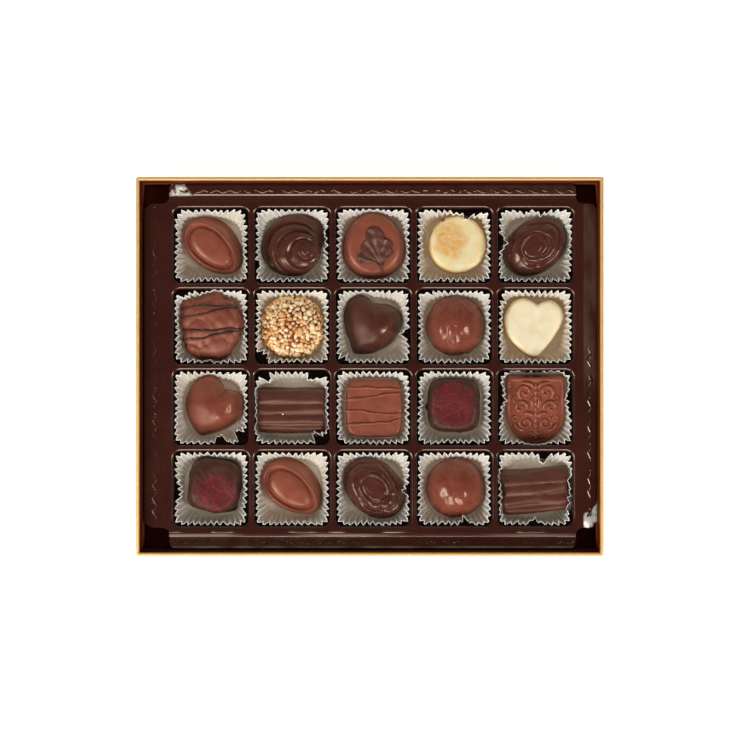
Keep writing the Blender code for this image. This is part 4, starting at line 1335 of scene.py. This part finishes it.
# The two dusted squares by where they lie: drips at the foot (direction and width in degrees, how far out),
# how uneven they are, the middle and the reach of the dusting, and its number of grains
POWDER_SQUARES = {
    "r3c4": (((184, 6, 1.2), (-78, 4, 0.5)), 0.16, (-0.6, 0.2), (10.2, 10.4), 1800),
    "r4c1": (((2, 9, 0.9), (-42, 7, 0.7)), 0.30, (1.0, -3.6), (9.8, 8.6), 1300),
}


def powder_square(where):
    """A dark square with a trace of set chocolate at its foot and a dusting of raspberry."""
    drips, uneven, spot, reach, grains = POWDER_SQUARES[where.key]
    seed = 90 + int(where.key[3])
    knots = (
        (1.0, 0), (1.01, 0.6), (1.0, 1.6), (0.995, 5), (0.98, 9.5), (0.94, 12.4), (0.85, 14.2), (0.66, 14.9),
        (0, 15.2),
    )
    rows = loft(superellipse(11.9, 12.4, 3.6), knots, rows=60)
    _, direction = share_out(rows)
    foot = 1 - smoothstep(2.5, 7.0, rows[..., 2])
    for way, width, out in drips:
        rows[..., :2] *= 1 + (out / 12 * toward(direction, way, width) * foot)[..., None]
    rows = press_out(rows, uneven * waves(rows, 11, seed + 1) + 0.04 * waves(rows, 3, seed + 2))
    off = (rows[..., :2] - spot) / reach
    near = 1 - smoothstep(0.5, 1.15, np.hypot(off[..., 0], off[..., 1]) + 0.13 * waves(rows, 6, seed + 3))
    dusted = near * smoothstep(7, 12, rows[..., 2])
    body = praline("powder_square", rows, where, "berry_dusted_chocolate", dusted=dusted)
    name = f"raspberry_grains_{where.key}"
    grains_on(name, body, where.middle + spot, reach, grains, 0.14, "raspberry_crumb", seed)
    return body


# Where the spilt crumbs lie from the middle of the well, and their sizes
SPILT = (
    (10.9, -7.6, 0.36), (11.2, -8.6, 0.34), (10.6, -9.3, 0.40), (11.5, -7.0, 0.22), (12.9, -4.6, 0.18),
    (5.0, -12.6, 0.2), (6.1, -12.9, 0.16), (7.4, -12.0, 0.2), (4.2, -12.1, 0.14),
)


def spilt_crumbs():
    """Raspberry crumbs that fell into the cup beside their praline."""
    spilt = np.array(SPILT)
    spots = drape(bpy.data.objects["cup_r3c4_pleated"], well_centre(3, 2) + spilt[:, :2], 0.2)
    scatter_bits("spilt_crumbs", spots, spilt[:, 2], "raspberry_crumb", 4)


# The right half of the shield's relief: scrolls (middle x and y, size, start in degrees, which way they turn)
# and leaves
SCROLLS = (
    (4.9, 8.6, 3.5, -70, 1), (6.9, 1.6, 3.2, 210, -1), (4.3, -5.4, 3.3, 60, -1), (9.2, 5.6, 1.7, 200, 1),
    (9.4, -3.2, 1.8, 120, 1), (2.4, -10.6, 1.8, 20, -1),
)
LEAVES = (
    ((0.5, 1.0), (1.7, 3.2), (1.6, 5.4), (0.4, 7.0)),
    ((0.5, -3.0), (2.2, -1.6), (3.8, -1.2), (5.2, -1.7)),
    ((0.6, 10.4), (1.8, 11.4), (3.4, 12.6), (6.6, 12.9)),
    ((5.4, -9.0), (7.2, -8.8), (9.0, -7.0), (10.0, -5.6)),
)


def shield_outline(half_x, half_y, corner):
    """A flat top edge with round corners, straight sides and a round foot towards -Y."""
    shoulder = half_y - half_x * 1.1
    parts = [circle(np.linspace(math.pi, TURN, 25)) * (half_x, half_y - shoulder) + (0, -shoulder)]
    for centre_x, start in ((half_x - corner, 0.0), (corner - half_x, math.pi / 2)):
        quarter = np.linspace(start, start + math.pi / 2, 7)
        parts.append(circle(quarter) * corner + (centre_x, half_y - corner))
    return evenly(np.vstack([*parts, parts[0][:1]]), 144, closed=True)


def crest(where):
    """A shield with a raised border and mirrored scrolls in relief: a common ornament."""
    floor, steps = 9.15, 46
    knots = (
        (0.98, 0), (1, 1), (0.998, 4), (0.994, 7.6), (0.986, 8.8), (0.97, 9.18), (0.918, 9.5), (0.90, 9.47),
        (0.875, 9.25), (0.85, floor), (0.5, floor), (0, floor),
    )
    rows = loft(shield_outline(13.6, 15.7, 2.0), knots, rows=80)
    rows = press_out(rows, 0.04 * waves(rows, 8, 18))
    body = praline("crest", rows, where, "polished_milk_chocolate")
    paths = []
    for sign in (-1, 1):
        for x, y, size, start, sense in SCROLLS:
            t = np.linspace(0, 1, steps)
            curl = circle(math.radians(start) + sense * t * TURN * 1.2) * (size * (1 - 0.80 * t))[:, None]
            path = np.column_stack([sign * (x + curl[:, 0]), y + curl[:, 1], np.full(steps, floor)])
            paths.append((path, size * 0.32 * (1 - 0.35 * t) * np.minimum(1, 0.35 + 5 * t), 0.9))
        for leaf in LEAVES:
            path = curve_through([(sign * x, y, floor) for x, y in leaf], 30)
            paths.append((path, 1.15 * np.sin(np.linspace(0.3, 2.8, 30)), 0.85))
    stem = curve_through([(0, y, floor) for y in (12.4, 6.0, 0, -6, -12.6)], 50)
    paths.append((stem, 0.75 + 0.35 * np.sin(np.linspace(0, 5 * TURN, 50)) ** 2, 0.95))
    points, faces = tubes(paths, circle(angles(8)))
    make_piece("crest_scrolls", where.put(points, where.lowest), faces, "polished_milk_chocolate")
    return body


# What lies in each cup, row by row from the far one: its turn in degrees and its place from the middle of
# the well in millimetres, as in the CAD model.
CONTENTS = (
    (
        (oval, -43, (0.9, 0.4)), (snail, 0, (0.3, 0.7)), (leaf_egg, 96, (0.2, 0.3)),
        (button, 0, (1.6, 0.8)), (whorl, 37, (0.5, 0.0)),
    ),
    (
        (cluster, 0, (-0.5, 0.4)), (nut_dome, 0, (0.0, -0.1)), (heart_dark, 0, (0.0, 0.0)),
        (dome, 0, (0.8, 0.6)), (heart_ivory, 0, (0.0, 0.0)),
    ),
    (
        (heart_milk, 0, (0.0, 0.0)), (log, 0, (-0.5, -1.0)), (drizzle_square, 0, (0.5, -0.4)),
        (powder_square, 0, (0.1, 1.2)), (crest, 0, (0.5, -0.3)),
    ),
    (
        (powder_square, -7, (1.0, 1.4)), (oval, -38, (0.2, 0.7)), (whorl, -44, (0.5, -0.1)),
        (dome, 20, (0.9, 0.1)), (log, 5, (0.5, -0.8)),
    ),
)
LEANS = {crest: 7}


def build_contents():
    for row, line in enumerate(CONTENTS):
        for column, (make, turn, offset) in enumerate(line):
            key = f"r{row + 1}c{column + 1}"
            centre = well_centre(column, row)
            body = make(Place(key, centre, turn, offset, LEANS.get(make, 0.0)))
            build_cup(key, centre, body, 100 + row * COLUMNS + column)


# ---------------------------------------------------------------- stage


def around_light(name, azimuth, from_zenith, size, power, distance=1.4):
    """A rectangular light that faces the box from the given direction, in degrees."""
    data = bpy.data.lights.new(name, "AREA")
    data.shape = "RECTANGLE"
    data.size, data.size_y = size
    data.energy = power
    made = bpy.data.objects.new(name, data)
    turn, tilt = math.radians(azimuth), math.radians(from_zenith)
    way = Vector((math.cos(turn) * math.sin(tilt), math.sin(turn) * math.sin(tilt), math.cos(tilt)))
    made.location = way * distance
    made.rotation_euler = way.to_track_quat("Z", "Y").to_euler()
    bpy.context.scene.collection.objects.link(made)


def build_stage():
    scene = bpy.context.scene
    scene.view_settings.view_transform = "Standard"
    scene.world = bpy.data.worlds.new("studio")
    scene.world.use_nodes = True
    background = scene.world.node_tree.nodes["Background"].inputs
    background["Color"].default_value = (1, 1, 1, 1)
    background["Strength"].default_value = 0.055

    bpy.ops.mesh.primitive_plane_add(size=3)
    floor = bpy.context.object
    floor.name = "floor"
    floor.location.z = -0.0005
    paper = Surface("floor_paper", (0.93, 0.93, 0.93), 0.9)
    paper.set("Emission Color", (1, 1, 1, 1))
    paper.set("Emission Strength", 0.9)
    floor.data.materials.append(paper.material)

    around_light("left", -150, 45, (0.55, 0.45), 10.6)
    around_light("front", -96, 49, (0.7, 0.36), 9)
    around_light("right", -27, 42, (0.3, 0.3), 6.5)
    around_light("far", 85, 54, (1.2, 0.5), 1.1)

    camera = bpy.data.objects.new("camera", bpy.data.cameras.new("camera"))
    camera.location = (0.00234, -0.00383, 1.53)
    camera.data.sensor_width = 36
    camera.data.lens = 159.7
    scene.collection.objects.link(camera)
    scene.camera = camera


# ---------------------------------------------------------------- all of it

build_box()
build_tray()
build_zigzags()
build_contents()
spilt_crumbs()
build_stage()
